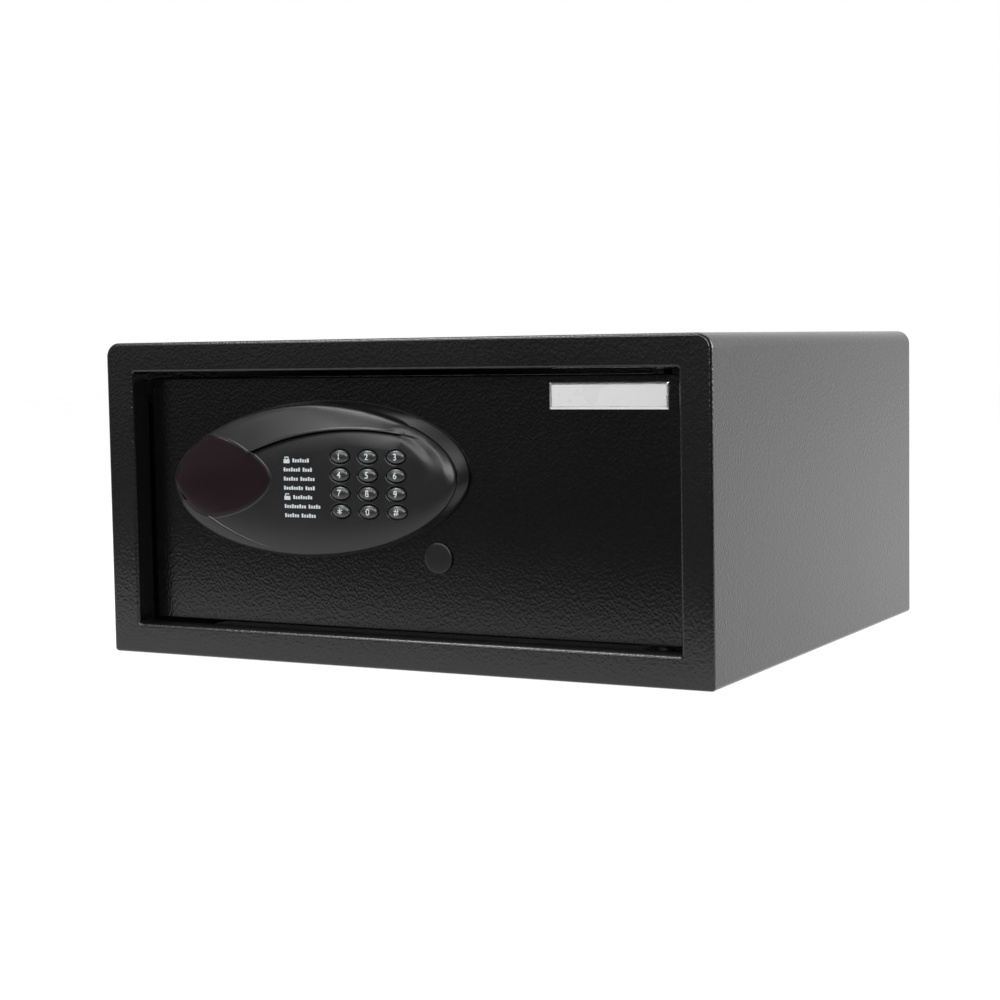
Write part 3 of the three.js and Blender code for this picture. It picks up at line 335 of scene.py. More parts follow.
def coat_base(tree):
    """Black that drifts a little over the sheet."""
    return between_shades(tree, tree.noise(tree.place(), 9, 2), colours().coat, 0.8, 1.25)


def door_painted_shade_base(tree):
    """The cabinet's coat darkened to three tenths: painted shade for the door, which sits back in its
    recess.
    """
    return coat_base(tree) * (0.3, 0.3, 0.3)


def coat_roughness(tree):
    """Satin, with smaller patches that shine more."""
    place = tree.place()
    broad = tree.noise(place, 14, 2)
    fine = tree.noise(place, 420, 1)
    return tree.span(broad * 0.5 + fine * 0.5, 0.3, 0.7, 0.16, 0.23)


def make_finishes():
    """Every finish by its name: base, roughness, normal, metallic, specular level and sheen."""
    c = colours()
    recipes = {
        "black_coat": (coat_base, coat_roughness, coat_normal),
        # the door's finish is the cabinet's coat with painted shade for the recessed door, and a lower
        # specular level
        "door_coat": (door_painted_shade_base, coat_roughness, coat_normal, 0, 0.47),
        "panel_plastic": (varied(c.panel, 40, 0.08), uneven(0.28, 0.34, 60), grain(2600, 0.00002), 0, 0.44),
        "plug_plastic": (varied(c.coat, 60, 0.1), uneven(0.3, 0.36, 60), grain(1600, 0.00002), 0, 0.36),
        "key_plastic": (varied(c.key, 300, 0.1), uneven(0.26, 0.34, 200), grain(1800, 0.00001), 0, 0.75),
        "smoked_window": (
            varied(c.window, 30, 0.15), uneven(0.16, 0.22, 25, 2), grain(90, 0.00002), 0, 0.16,
        ),
        "window_rim": (varied(c.key, 300, 0.1), uneven(0.16, 0.24, 200)),
        "ink": (varied(c.ink, 900, 0.08), uneven(0.4, 0.55, 900)),
        "plate_metal": (
            varied(c.plate, 30, 0.05), brushed(0.22, 0.36, (60, 60, 6000)),
            turned_marks((40, 40, 5000), 0.000012), 1,
        ),
        "plate_white": (varied(c.plate, 30, 0.04), uneven(0.24, 0.32, 40)),
        "plain_steel": (
            varied(c.steel, 90, 0.1), brushed(0.2, 0.4, (2600, 90, 90)), turned_marks((3000, 60, 60)), 1,
        ),
        "zinc_steel": (varied(c.zinc, 120, 0.14), uneven(0.28, 0.46, 260), grain(700, 0.00003), 1),
        "brass": (varied(c.brass, 120, 0.1), uneven(0.22, 0.4, 300), grain(900, 0.00002), 1),
        "black_plastic": (varied(c.plastic, 80, 0.12), uneven(0.38, 0.5, 150), grain(1600, 0.00003)),
        "red_plastic": (varied(c.red, 200, 0.1), uneven(0.25, 0.35, 200), grain(1500, 0.00001)),
        "green_board": (varied(c.board, 400, 0.3), uneven(0.3, 0.45, 300), grain(600, 0.00002)),
        "grey_rubber": (varied(c.rubber, 150, 0.1), uneven(0.7, 0.85, 200), grain(1400, 0.00003)),
        "felt_mat": (felt_base, uneven(0.92, 1.0, 500), felt_normal, 0, 0.5, (0.5, 0.4)),
        "cell_wrap": (varied(c.wrap, 100, 0.1), uneven(0.25, 0.35, 150), grain(300, 0.00002)),
    }
    return {name: finish(name, *recipe) for name, recipe in recipes.items()}


def felt_fibres(tree):
    """Short crossing fibres of needled felt."""
    place = tree.place()
    one_way = tree.noise(place * (900, 5200, 3000), 1, 2, 0.6, 1.2)
    other_way = tree.noise(place * (5200, 900, 3000), 1, 2, 0.6, 1.2)
    return one_way.larger(other_way)


def felt_base(tree):
    """Dark felt with paler fibres."""
    return between_shades(tree, tree.span(felt_fibres(tree), 0.45, 0.8), colours().felt, 0.55, 2.4)


def felt_normal(tree):
    """Fibres over soft lumps."""
    lumps = tree.noise(tree.place(), 160, 2)
    return tree.bump(felt_fibres(tree) * 0.7 + lumps * 0.3, 0.9, 0.0005)


FINISHES = {}


# Mesh code

def shaded(mesh, sharp=SHARP):
    """Shades a mesh smooth up to an angle."""
    mesh.shade_smooth()
    mesh.set_sharp_from_angle(angle=math.radians(sharp))


def tool(verts, faces, name="tool"):
    """A solid in the scene, its faces turned outwards. It cuts, or becomes a piece."""
    mesh = bpy.data.meshes.new(name)
    mesh.from_pydata([tuple(v) for v in verts], [], faces)
    mesh.validate()
    built = bmesh.new()
    built.from_mesh(mesh)
    bmesh.ops.recalc_face_normals(built, faces=built.faces)
    built.to_mesh(mesh)
    built.free()
    obj = bpy.data.objects.new(name, mesh)
    bpy.context.scene.collection.objects.link(obj)
    return obj


def piece(name, verts, faces, slot, body, replaced=(), finish_name=None, sharp=SHARP):
    """A named piece that rides on a body, shaded smooth up to an angle."""
    obj = tool(verts, faces, name)
    shaded(obj.data, sharp)
    obj.data.materials.append(FINISHES[finish_name or slot])
    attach(obj, body)
    if replaced:
        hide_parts(*replaced)
    return obj


def even_normals(obj):
    """Keeps flat faces flat next to rounded edges."""
    modifier = obj.modifiers.new("even_normals", "WEIGHTED_NORMAL")
    modifier.keep_sharp = True
    modifier.weight = 80


def lofted(rings, closed=False):
    """(verts, faces) of a skin over rings of equal length, closed on itself or with a face at each end."""
    count = len(rings[0])
    verts = [point for ring in rings for point in ring]
    faces = []
    spans = len(rings) if closed else len(rings) - 1
    for ring in range(spans):
        here = ring * count
        there = ((ring + 1) % len(rings)) * count
        for i in range(count):
            j = (i + 1) % count
            faces.append((here + i, here + j, there + j, there + i))
    if not closed:
        faces.append(tuple(range(count)))
        faces.append(tuple(range(len(verts) - 1, len(verts) - 1 - count, -1)))
    return verts, faces


def rounded_frame(left, right, bottom, top, top_radius, bottom_radius, inset, steps=12):
    """Points (x, z) of a rectangle with round corners, drawn inwards by an inset."""
    points = []
    corners = [(right, top, top_radius), (left, top, top_radius),
               (left, bottom, bottom_radius), (right, bottom, bottom_radius)]
    for quarter, (x, z, radius) in enumerate(corners):
        inner = max(radius - inset, 0.2 * MM)
        centre_x = x - math.copysign(inset + inner, x - (left + right) / 2)
        centre_z = z - math.copysign(inset + inner, z - (bottom + top) / 2)
        for step in range(steps + 1):
            angle = (quarter + step / steps) * TURN / 4
            points.append((centre_x + inner * math.cos(angle), centre_z + inner * math.sin(angle)))
    return points


def at_depth(points, y):
    """Points (x, z) as a ring at this depth."""
    return [(x, y, z) for x, z in points]


def quarter(radius, steps):
    """(inset, drop) along a rounded edge, from the side wall to the face."""
    for step in range(steps + 1):
        angle = step / steps * TURN / 4
        yield radius * (1 - math.cos(angle)), radius * (1 - math.sin(angle))


def edge_rings(outline, face, radius, steps):
    """Rings of a rounded edge: from the side wall to the face at this depth, with outline(inset)."""
    return [at_depth(outline(inset), face + drop) for inset, drop in quarter(radius, steps)]


def cut(obj, cutters):
    """Takes the cutters' solids from a piece, and drops them."""
    for cutter in cutters:
        modifier = obj.modifiers.new("cut", "BOOLEAN")
        modifier.operation = "DIFFERENCE"
        modifier.solver = "EXACT"
        modifier.object = cutter
    bpy.context.view_layer.update()
    graph = bpy.context.evaluated_depsgraph_get()
    mesh = bpy.data.meshes.new_from_object(obj.evaluated_get(graph))
    for modifier in list(obj.modifiers):
        obj.modifiers.remove(modifier)
    old = obj.data
    obj.data = mesh
    bpy.data.meshes.remove(old)
    for cutter in cutters:
        bpy.data.objects.remove(cutter, do_unlink=True)
    shaded(mesh)


def circle(radius, sides):
    """Points round a circle."""
    angles = [i * TURN / sides for i in range(sides)]
    return [(radius * math.cos(angle), radius * math.sin(angle)) for angle in angles]


def centre(name):
    """The centre of a CAD node's box."""
    return [(low + high) / 2 for low, high in zip(*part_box(name))]


def turned(profile, axis, centre, sides=48):
    """(verts, faces) of a turned piece: the profile is (radius, distance along the axis)."""
    along = {"x": 0, "y": 1, "z": 2}[axis]
    across = [index for index in range(3) if index != along]
    rings = []
    for radius, distance in profile:
        ring = []
        for a, b in circle(max(radius, 0.02 * MM), sides):
            point = [0.0, 0.0, 0.0]
            point[along] = centre[along] + distance
            point[across[0]] = centre[across[0]] + a
            point[across[1]] = centre[across[1]] + b
            ring.append(tuple(point))
        rings.append(ring)
    return lofted(rings)


def dressed(slot, *nodes):
    """Gives this finish to CAD nodes that stay."""
    for name in nodes:
        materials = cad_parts[name].data.materials
        materials.clear()
        materials.append(FINISHES[slot])


# Cabinet

class Cabinet:
    """The cabinet's levels, from the frame's boxes and the sizes."""

    def __init__(self):
        s = sizes()
        low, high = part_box("cabinet_shell")
        self.low, self.high = low, high
        self.front, self.back = low.y, high.y
        self.door_left = low.x + s.flange_left
        self.door_right = high.x - s.flange
        self.door_top = high.z - s.flange_top
        self.door_bottom = low.z + s.flange_top

    def outline(self, inset):
        """The wrapped sheet's outline."""
        s = sizes()
        return rounded_frame(
            self.low.x, self.high.x, self.low.z, self.high.z, s.top_fold, s.bottom_fold, inset,
        )

    def doorway(self, growth):
        """The doorway's outline, made larger by a growth."""
        radius = 1.2 * MM + max(growth, 0)
        return rounded_frame(
            self.door_left - growth, self.door_right + growth,
            self.door_bottom - growth, self.door_top + growth, radius, radius, 0,
        )


def cabinet_rings(cabinet):
    """The sheet as one closed skin: inside, flange, doorway's return, front, outside and rear edge."""
    s = sizes()
    front, back = cabinet.front, cabinet.back
    inside = cabinet.outline(s.sheet)
    rings = [
        at_depth(inside, back),
        at_depth(inside, front + s.sheet),
        at_depth(cabinet.doorway(s.jamb_sheet), front + s.sheet),
        at_depth(cabinet.doorway(s.jamb_sheet), front + s.jamb_depth),
        at_depth(cabinet.doorway(0), front + s.jamb_depth),
    ]
    rings += edge_rings(cabinet.doorway, front, s.doorway_edge, 4)
    rings += reversed(edge_rings(cabinet.outline, front, s.front_edge, 6))
    rings.append(at_depth(cabinet.outline(0), back - 0.5 * MM))
    rings.append(at_depth(cabinet.outline(0.3 * MM), back))
    return rings


def floor_hole_tools(radius, top, sides):
    """Cutters for the two holes over the anchor bolts in the floor."""
    foot = -5 * MM
    return [
        tool(*turned([(radius, foot), (radius, top)], "z", (x, ANCHOR_Y, 0), sides))
        for x in (-ANCHOR_X, ANCHOR_X)
    ]


def build_cabinet():
    """The wrapped cabinet with its doorway, and the finishes of the CAD nodes round it."""
    cabinet = Cabinet()
    skin = lofted(cabinet_rings(cabinet), closed=True)
    shell = piece("cabinet", *skin, "black_coat", "cabinet", ("cabinet_shell", "door_jamb"))
    cut(shell, floor_hole_tools(sizes().anchor, 5 * MM, 48))
    even_normals(shell)
    dressed("black_coat", "back_panel", "bolt_keeper", "upper_hinge_bracket", "lower_hinge_bracket")
    dressed("zinc_steel", "upper_hinge_pin", "lower_hinge_pin")
    dressed("black_plastic", "lower_bushing")


def build_mat():
    """The felt mat on the cabinet's floor, with its two round holes."""
    low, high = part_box("floor_mat")
    corner = 3 * MM
    edge = 1.2 * MM

    def ring(inset, z):
        points = rounded_frame(low.x, high.x, low.y, high.y, corner, corner, inset, 6)
        return [(x, y, z) for x, y in points]

    rings = [ring(edge * 0.4, low.z), ring(0, low.z + edge * 0.4)]
    rings += [ring(inset, high.z - drop) for inset, drop in quarter(edge, 3)]
    mat = piece("mat", *lofted(rings), "felt_mat", "cabinet", ("floor_mat",))
    cut(mat, floor_hole_tools(sizes().mat_hole, 10 * MM, 64))
    even_normals(mat)


# Door

def build_door():
    """The door plate with its rounded edges and the hole for the emergency lock."""
    low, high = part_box("door_plate")
    s = sizes()

    def outline(inset):
        return rounded_frame(low.x, high.x, low.z, high.z, 1.8 * MM, 1.8 * MM, inset, 5)

    rings = [at_depth(outline(0.3 * MM), high.y), at_depth(outline(0), high.y - 0.3 * MM)]
    rings += edge_rings(outline, low.y, s.door_edge, 6)
    # the door gets the coat with painted shade for its recess
    door = piece("door", *lofted(rings), "black_coat", "door", ("door_plate",), "door_coat")
    x, _, z = centre("lock_cover")
    hole = [(s.lock_hole, low.y - 3 * MM), (s.lock_hole, high.y + 3 * MM)]
    cut(door, [tool(*turned(hole, "y", (x, 0, z), 64))])
    even_normals(door)
    dressed("black_coat", "hinge_bar")
    dressed("black_plastic", "upper_bushing")
    dressed("brass", "lock_housing")


def build_plate():
    """The bare metal plate at the door's upper right: a flat middle in a sloping border."""
    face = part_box("door_plate")[0].y
    left, right, bottom, top = 101.2 * MM, 176.9 * MM, 156.9 * MM, 172.7 * MM
    s = sizes()
    proud = 1.1 * MM

    def outline(inset):
        return rounded_frame(left, right, bottom, top, 0.7 * MM, 0.7 * MM, inset, 4)

    rings = [
        at_depth(outline(0), face + 0.3 * MM),
        at_depth(outline(0), face - proud * 0.45),
        at_depth(outline(0.15 * MM), face - proud * 0.6),
        at_depth(outline(s.plate_bevel), face - proud),
        at_depth(outline(s.plate_bevel + 0.3 * MM), face - proud * 0.97),
        at_depth(outline(s.plate_bevel + 0.5 * MM), face - proud * 0.8),
    ]
    piece("plate", *lofted(rings), "plain_steel", "door", (), "plate_metal", 25)
    inner = s.plate_bevel + 0.35 * MM
    rings = [
        at_depth(outline(inner), face - proud * 0.7),
        at_depth(outline(inner), face - proud * 0.86),
        at_depth(outline(inner + 0.15 * MM), face - proud * 0.9),
    ]
    piece("plate_face", *lofted(rings), "plain_steel", "door", (), "plate_white", 25)


# Keypad panel

class PanelForm:
    """The keypad moulding's form, in its own place: x and up from its centre, height over the door."""

    lean = 0.196
    fullness = 1.95
    dome_fullness = 2.5
    chamfer_turn = 0.45
    sweep_radius = 207 * MM
    sweep_peak = (33.7 * MM, 31.4 * MM)
    hollow = (0.58, 0.77, 0.85)
    ridge = (0.885, 0.93)
    lip_radius = 170 * MM
    lip_peak = (9.7 * MM, -48.3 * MM)
    lip_left = -77.5 * MM
    lip_right = -29.5 * MM
    edge_left = -41 * MM
    edge_right = 68 * MM
    window_left = -104.6 * MM
    window_right = -28 * MM
    window_tip = -78.4 * MM
    window_top = 27.4 * MM
    window_bottom = -24.8 * MM
    window_side = 0.8 * MM
    window_fullness = (1.64, 1.32, 1.5, 1.78)
    window_gap = 0.35 * MM

    def __init__(self):
        s = sizes()
        self.s = s
        low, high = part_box("keypad_panel")
        self.x = -60.1 * MM
        self.z = 113.6 * MM
        self.base = high.y
        self.shoulder = s.skirt + s.chamfer_height

    def outline(self, angle, inset=0.0):
        """The leaning oval's point at an angle."""
        power = 2 / self.fullness
        across = math.cos(angle)
        rise = math.sin(angle)
        up = (self.s.panel_half_height - inset) * math.copysign(abs(rise) ** power, rise)
        x = (self.s.panel_half_width - inset) * math.copysign(abs(across) ** power, across)
        return x + self.lean * up, up

    def reach(self, x, up):
        """0 at the centre and 1 at the dome's edge."""
        least = self.s.chamfer_least
        a = abs(up) / (self.s.panel_half_height - least)
        b = abs(x - self.lean * up) / (self.s.panel_half_width - least)
        return (a ** self.fullness + b ** self.fullness) ** (1 / self.fullness)

    def chamfer(self, angle):
        """The slope's width at an angle: widest at the upper right."""
        share = max(math.cos(angle - self.chamfer_turn), 0) ** 2
        return self.s.chamfer_least + (self.s.chamfer_width - self.s.chamfer_least) * share

    def dome(self, reach):
        """The dome's height."""
        fall = min(reach, 1) ** self.dome_fullness
        return self.shoulder + self.s.dome * (1 - fall) ** (1 / self.dome_fullness)

    def beyond_crease(self, x, up):
        """How far a point lies above the crease's arc."""
        peak_x, peak_up = self.sweep_peak
        return math.hypot(x - peak_x, up - peak_up + self.sweep_radius) - self.sweep_radius

    def crease_point(self, x, inward):
        """The point so far under the crease's arc, along the arc's own radius at x."""
        lean_in = (x - self.sweep_peak[0]) / self.sweep_radius
        radius = self.sweep_radius - inward
        rise = math.sqrt(1 - lean_in * lean_in)
        return self.sweep_peak[0] + radius * lean_in, self.sweep_peak[1] - self.sweep_radius + radius * rise

    def sweep(self, x, up, reach):
        """The raised sweep: a step along the crease that dies away at the right."""
        beyond = self.beyond_crease(x, up)
        share = smooth(80 * MM, 50 * MM, x)
        step = smooth(-1.4 * MM, 0, beyond)
        edge = self.s.panel_half_height * 0.98
        fall = 1 - min(max(beyond, 0) / (edge - self.sweep_peak[1]), 1)
        raised = self.s.sweep * share * step * fall ** 1.3
        return raised * (1 - min(reach, 1) ** 10)

    def wave(self, x, up, reach):
        """The swell, the hollow and the ridge that follow the oval past the crease's end."""
        angle = math.atan2(up, x - self.lean * up)
        start = smooth(46 * MM, 60 * MM, x)
        hollow_along = smooth(0.04, 0.2, angle) * smooth(0.56, 0.4, angle) * start
        ridge_along = smooth(-0.03, 0.08, angle) * smooth(0.36, 0.24, angle) * start
        swell_end, hollow_start, hollow_end = self.hollow
        rise = self.s.swell * smooth(swell_end, hollow_start, reach) * hollow_along
        fall = self.s.hollow * smooth(hollow_start, hollow_end, reach) * hollow_along
        ridge = self.s.ridge * smooth(*self.ridge, reach) * ridge_along
        return (rise - fall - ridge) * smooth(1, 0.94, reach)

    def height(self, x, up):
        """The finished surface."""
        reach = self.reach(x, up)
        return self.dome(reach) + self.sweep(x, up, reach) + self.wave(x, up, reach)

    def world(self, x, up, height):
        """A point of the panel in the frame."""
        return self.x + x, self.base - height, self.z + up

    def window_point(self, angle, inset):
        """The leaf outline's point at an angle."""
        c = math.cos(angle)
        s = math.sin(angle)
        power = 2 / self.window_fullness[int(angle / TURN * 4) % 4]
        end = self.window_right if c > 0 else self.window_left
        rim = self.window_top if s > 0 else self.window_bottom
        across = abs(end - self.window_tip) - inset
        up = abs(rim - self.window_side) - inset
        return (
            self.window_tip + math.copysign(across * abs(c) ** power, c),
            self.window_side + math.copysign(up * abs(s) ** power, s),
        )


def smooth(start, end, value):
    """0 before start, 1 after end, and smooth between, either way round."""
    share = min(max((value - start) / (end - start), 0), 1)
    return share * share * (3 - 2 * share)


def key_places():
    """Each key's name and its centre on the panel, from its CAD node."""
    form = PanelForm()
    places = []
    for name in KEYS:
        x, _, z = centre(f"key_{name}")
        places.append((name, x - form.x, z - form.z))
    return places


def key_ring(form, x, up, growth, height):
    """A key's oval outline, made larger by a growth, at a height."""
    s = sizes()
    return [
        form.world(x + (s.key_half_width + growth) * a, up + (s.key_half_height + growth) * b, height)
        for a, b in circle(1, KEY_SIDES)
    ]


def panel_body(form):
    """The moulding before it is cut: skirt, slope and a finely divided dome."""
    sides = 400
    angles = [i * TURN / sides for i in range(sides)]

    def ring(inset, share, height):
        return [
            form.world(*form.outline(angle, inset + form.chamfer(angle) * share), height)
            for angle in angles
        ]

    skirt = form.s.skirt
    rings = [ring(0, 0, 0), ring(0, 0, skirt - 0.4 * MM), ring(0.12 * MM, 0, skirt)]
    rings += [ring(0, share, skirt + form.s.chamfer_height * share) for share in (0.25, 0.5, 0.75, 0.94)]
    dome_steps = 110
    for step in range(dome_steps):
        reach = math.cos(step / dome_steps * TURN / 4) ** 0.55
        points = []
        for angle in angles:
            edge_x, edge_up = form.outline(angle, form.chamfer(angle))
            x, up = edge_x * reach, edge_up * reach
            here = form.reach(x, up)
            height = form.dome(reach) + form.sweep(x, up, here) + form.wave(x, up, here)
            points.append(form.world(x, up, height))
        rings.append(points)
    return lofted(rings)


def well_tools(form):
    """Cutters for the key wells, flared at the top."""
    clearance = 0.4 * MM
    flare = 1.1 * MM
    floor = 3.2 * MM
    tools = []
    for _, x, up in key_places():
        top = form.height(x, up)
        rings = [key_ring(form, x, up, clearance, floor)]
        for inset, drop in quarter(flare, 4):
            rings.append(key_ring(form, x, up, clearance + inset, top - drop))
        rings.append(key_ring(form, x, up, clearance + flare, top + 3 * MM))
        tools.append(tool(*lofted(rings)))
    return tools


def crease_tool(form):
    """The cutter that makes the crease crisp: a wall along the arc, a groove at its foot and a soft dip."""
    ceiling = 30 * MM
    columns = 160
    first, last = -60 * MM, 73 * MM
    groove_width = 0.9 * MM
    shares = [0, 0.02, 0.05, 0.08, 0.12, 0.2, 0.3, 0.42, 0.56, 0.7, 0.85, 1]
    rings = []
    for column in range(columns + 1):
        x_at_arc = first + (last - first) * column / columns
        blend = smooth(60 * MM, 72 * MM, x_at_arc)
        deeper = smooth(20 * MM, 62 * MM, x_at_arc)
        width = (12 + 3 * deeper) * MM
        ring = []
        for share in shares:
            inward = width * share
            x, up = form.crease_point(x_at_arc, inward)
            reach = form.reach(x, up)
            dip = form.s.dip * (1 + deeper) * (1 - share) ** 1.6
            groove = form.s.crease * max(1 - (inward / groove_width) ** 2, 0)
            ground = form.dome(reach) + form.wave(x, up, reach)
            height = ground + form.sweep(x, up, reach) * blend - (dip + groove) * (1 - blend)
            ring.append(form.world(x, up, height))
        for inward in (width + 0.4 * MM, 0):
            x, up = form.crease_point(x_at_arc, inward)
            ring.append(form.world(x, up, ceiling))
        rings.append(ring)
    return tool(*lofted(rings))


def bead(form, points, halves, heights, closed=False):
    """A low ridged bead along points of the panel, its half width and height given at each."""
    profile = [(-1, -1.2), (-1, 0), (-0.12, 0.94), (0.12, 0.94), (1, 0), (1, -1.2)]
    rings = []
    last = len(points) - 1
    for index, (x, up) in enumerate(points):
        before = points[index - 1] if index or closed else points[0]
        after = points[(index + 1) % len(points)] if index < last or closed else points[last]
        along = Vector((after[0] - before[0], after[1] - before[1])).normalized()
        side = Vector((along.y, -along.x)) * halves[index]
        ring = []
        for a, b in profile:
            at_x, at_up = x + side.x * a, up + side.y * a
            ring.append(form.world(at_x, at_up, form.height(at_x, at_up) + heights[index] * b))
        rings.append(ring)
    return lofted(rings, closed)


def lip_bead(form):
    """The thin raised edge that runs from the window's lower tip along the moulding's lower left."""
    points, halves, heights = [], [], []
    columns = 60
    for column in range(columns + 1):
        share = column / columns
        x = form.lip_left + (form.lip_right - form.lip_left) * share
        rise = math.sqrt(form.lip_radius ** 2 - (x - form.lip_peak[0]) ** 2)
        points.append((x, form.lip_peak[1] + form.lip_radius - rise))
        halves.append(1.0 * MM * (1 - 0.7 * share))
        heights.append(form.s.lip * (1 - 0.7 * share))
    return bead(form, points, halves, heights)


def crease_bead(form):
    """The thin edge that runs along the crease, on the sweep's side."""
    points, halves, heights = [], [], []
    columns = 120
    for column in range(columns + 1):
        x = form.edge_left + (form.edge_right - form.edge_left) * column / columns
        taper = smooth(form.edge_left, 0, x) * smooth(70 * MM, 52 * MM, x)
        points.append(form.crease_point(x, -0.8 * MM))
        halves.append(0.8 * MM)
        heights.append((0.02 + 0.24 * taper) * MM)
    return bead(form, points, halves, heights)


def half_steps(sides):
    """Angles round a turn that miss the leaf's four tips, where its outline is not smooth."""
    return [(i + 0.5) * TURN / sides for i in range(sides)]


def window_bead(form):
    """The thin rim round the window."""
    sides = 160
    points = [form.window_point(angle, -form.window_gap) for angle in half_steps(sides)]
    return bead(form, points, [0.65 * MM] * sides, [0.28 * MM] * sides, True)


def window_ring(form, inset, height):
    """The window's outline, drawn inwards by an inset, at a height."""
    return [form.world(*form.window_point(angle, inset), height) for angle in half_steps(WINDOW_SIDES)]


def build_panel():
    """The moulded keypad panel."""
    form = PanelForm()
    panel = piece("panel", *panel_body(form), "panel_plastic", "door", ("keypad_panel",))
    pocket = tool(*lofted([window_ring(form, -form.window_gap, height) for height in (6.2 * MM, 22 * MM)]))
    cut(panel, [crease_tool(form), *well_tools(form), pocket])
    piece("lip", *lip_bead(form), "panel_plastic", "door", (), "window_rim", 50)
    piece("crease_edge", *crease_bead(form), "panel_plastic", "door", (), None, 50)
    piece("window_rim", *window_bead(form), "panel_plastic", "door", (), "window_rim", 50)
    dressed("green_board", "keyboard_card", "control_board")
    dressed("grey_rubber", "key_mat")
    dressed("red_plastic", "display_module")


def build_window():
    """The smoked window: a crowned leaf with a rounded rim."""
    form = PanelForm()
    angles = half_steps(WINDOW_SIDES)
    bevel = 0.9 * MM
    proud = 0.45 * MM

    def surface(x, up):
        return form.dome(form.reach(x, up)) + proud

    rings = [window_ring(form, 0, 6.5 * MM)]
    for inset, drop in quarter(bevel, 4):
        points = [form.window_point(angle, inset) for angle in angles]
        rings.append([form.world(x, up, surface(x, up) - drop) for x, up in points])
    inner_steps = 14
    for step in range(1, inner_steps):
        share = 1 - step / inner_steps
        ring = []
        for angle in angles:
            edge_x, edge_up = form.window_point(angle, bevel)
            x = form.window_tip + (edge_x - form.window_tip) * share
            up = form.window_side + (edge_up - form.window_side) * share
            ring.append(form.world(x, up, surface(x, up)))
        rings.append(ring)
    piece("window", *lofted(rings), "smoked_window", "door", ("display_window",))


def key_crown_height(form, x, up, dx, dup):
    """A key's surface over a point beside its centre."""
    s = sizes()
    top = form.dome(form.reach(x, up)) + s.key_proud
    out = min(math.hypot(dx / s.key_half_width, dup / s.key_half_height), 1)
    return top - s.key_crown * (1 - math.sqrt(1 - out * out))


def build_keys():
    """Twelve crowned keys."""
    form = PanelForm()
    s = sizes()
    steps = 12
    for name, x, up in key_places():
        foot = form.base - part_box(f"key_{name}")[1].y
        rings = [key_ring(form, x, up, 0, foot)]
        for step in range(steps + 1):
            out = max(math.cos(step / steps * TURN / 4), 0.03)
            ring = []
            for a, b in circle(1, KEY_SIDES):
                dx, dup = s.key_half_width * out * a, s.key_half_height * out * b
                ring.append(form.world(x + dx, up + dup, key_crown_height(form, x, up, dx, dup)))
            rings.append(ring)
        piece(f"cap_{name}", *lofted(rings), "key_plastic", f"key_{name}", (f"key_{name}",), None, 50)


def divide(mesh, longest):
    """Splits the mesh's edges until none in the plane is longer than this."""
    built = bmesh.new()
    built.from_mesh(mesh)
    bmesh.ops.remove_doubles(built, verts=built.verts, dist=longest * 1e-3)
    for _ in range(6):
        bmesh.ops.triangulate(built, faces=built.faces)
        long_edges = [
            edge for edge in built.edges
            if (edge.verts[0].co - edge.verts[1].co).xy.length > longest
        ]
        if not long_edges:
            break
        bmesh.ops.subdivide_edges(built, edges=long_edges, cuts=1)
    bmesh.ops.triangulate(built, faces=built.faces)
    built.to_mesh(mesh)
    built.free()


def figure_mesh(text, size):
    """(verts, faces) of a plain figure, flat on x and y, centred."""
    curve = bpy.data.curves.new("figure", "FONT")
    curve.body = text
    curve.size = size
    curve.align_x = "CENTER"
    curve.extrude = 0.5 * MM
    curve.offset = size * 0.012
    obj = bpy.data.objects.new("figure", curve)
    bpy.context.scene.collection.objects.link(obj)
    bpy.context.view_layer.update()
    mesh = bpy.data.meshes.new_from_object(obj.evaluated_get(bpy.context.evaluated_depsgraph_get()))
    divide(mesh, size / 9)
    xs = [v.co.x for v in mesh.vertices]
    ys = [v.co.y for v in mesh.vertices]
    middle = ((min(xs) + max(xs)) / 2, (min(ys) + max(ys)) / 2)
    verts = [(v.co.x - middle[0], v.co.y - middle[1], v.co.z) for v in mesh.vertices]
    faces = [tuple(face.vertices) for face in mesh.polygons]
    bpy.data.objects.remove(obj, do_unlink=True)
    bpy.data.curves.remove(curve)
    bpy.data.meshes.remove(mesh)
    return verts, faces


def build_figures():
    """The printed figure on each key, draped over its crown."""
    form = PanelForm()
    over, under = 0.06 * MM, -0.3 * MM
    for name, x, up in key_places():
        size = 7.5 * MM if name == "star" else 5.6 * MM
        verts, faces = figure_mesh(FIGURES.get(name, name), size)
        draped = []
        for dx, dup, side in verts:
            height = key_crown_height(form, x, up, dx, dup) + (over if side > 0 else under)
            draped.append(form.world(x + dx, up + dup, height))
        piece(f"figure_{name}", draped, faces, "key_plastic", f"key_{name}", (), "ink", 30)


LEGEND_LINES = [
    ("shut", [7]),
    ("", [7, 4]),
    ("", [6, 6]),
    ("", [8, 4]),
    ("open", [8]),
    ("", [9, 5]),
    ("", [6, 6]),
]


def legend_bars():
    """The generic marks beside the keys: (x0, x1, y0, y1) in mm from the block's upper left corner."""
    line_pitch, mark_pitch, mark_width, word_gap = 5.69, 1.8, 1.25, 1.5
    foot, low_top, high_top = -1.1, 0.7, 1.3
    bars = []
    for line, (sign, runs) in enumerate(LEGEND_LINES):
        y = -line_pitch * line
        x = 0.0
        if sign:
            # a padlock: its body, its shackle's legs and its bow
            bars += [(0, 4.4, y - 1.7, y + 0.7), (0.7, 1.3, y + 0.7, y + 1.7)]
            if sign == "shut":
                bars.append((3.1, 3.7, y + 0.7, y + 1.7))
            bars.append((0.7, 3.7, y + 1.7, y + 2.3))
            x = 6.6
        for run in runs:
            for step in range(run):
                bars.append((x, x + mark_width, y + foot, y + (low_top if step % 3 else high_top)))
                x += mark_pitch
            x += word_gap
    return bars


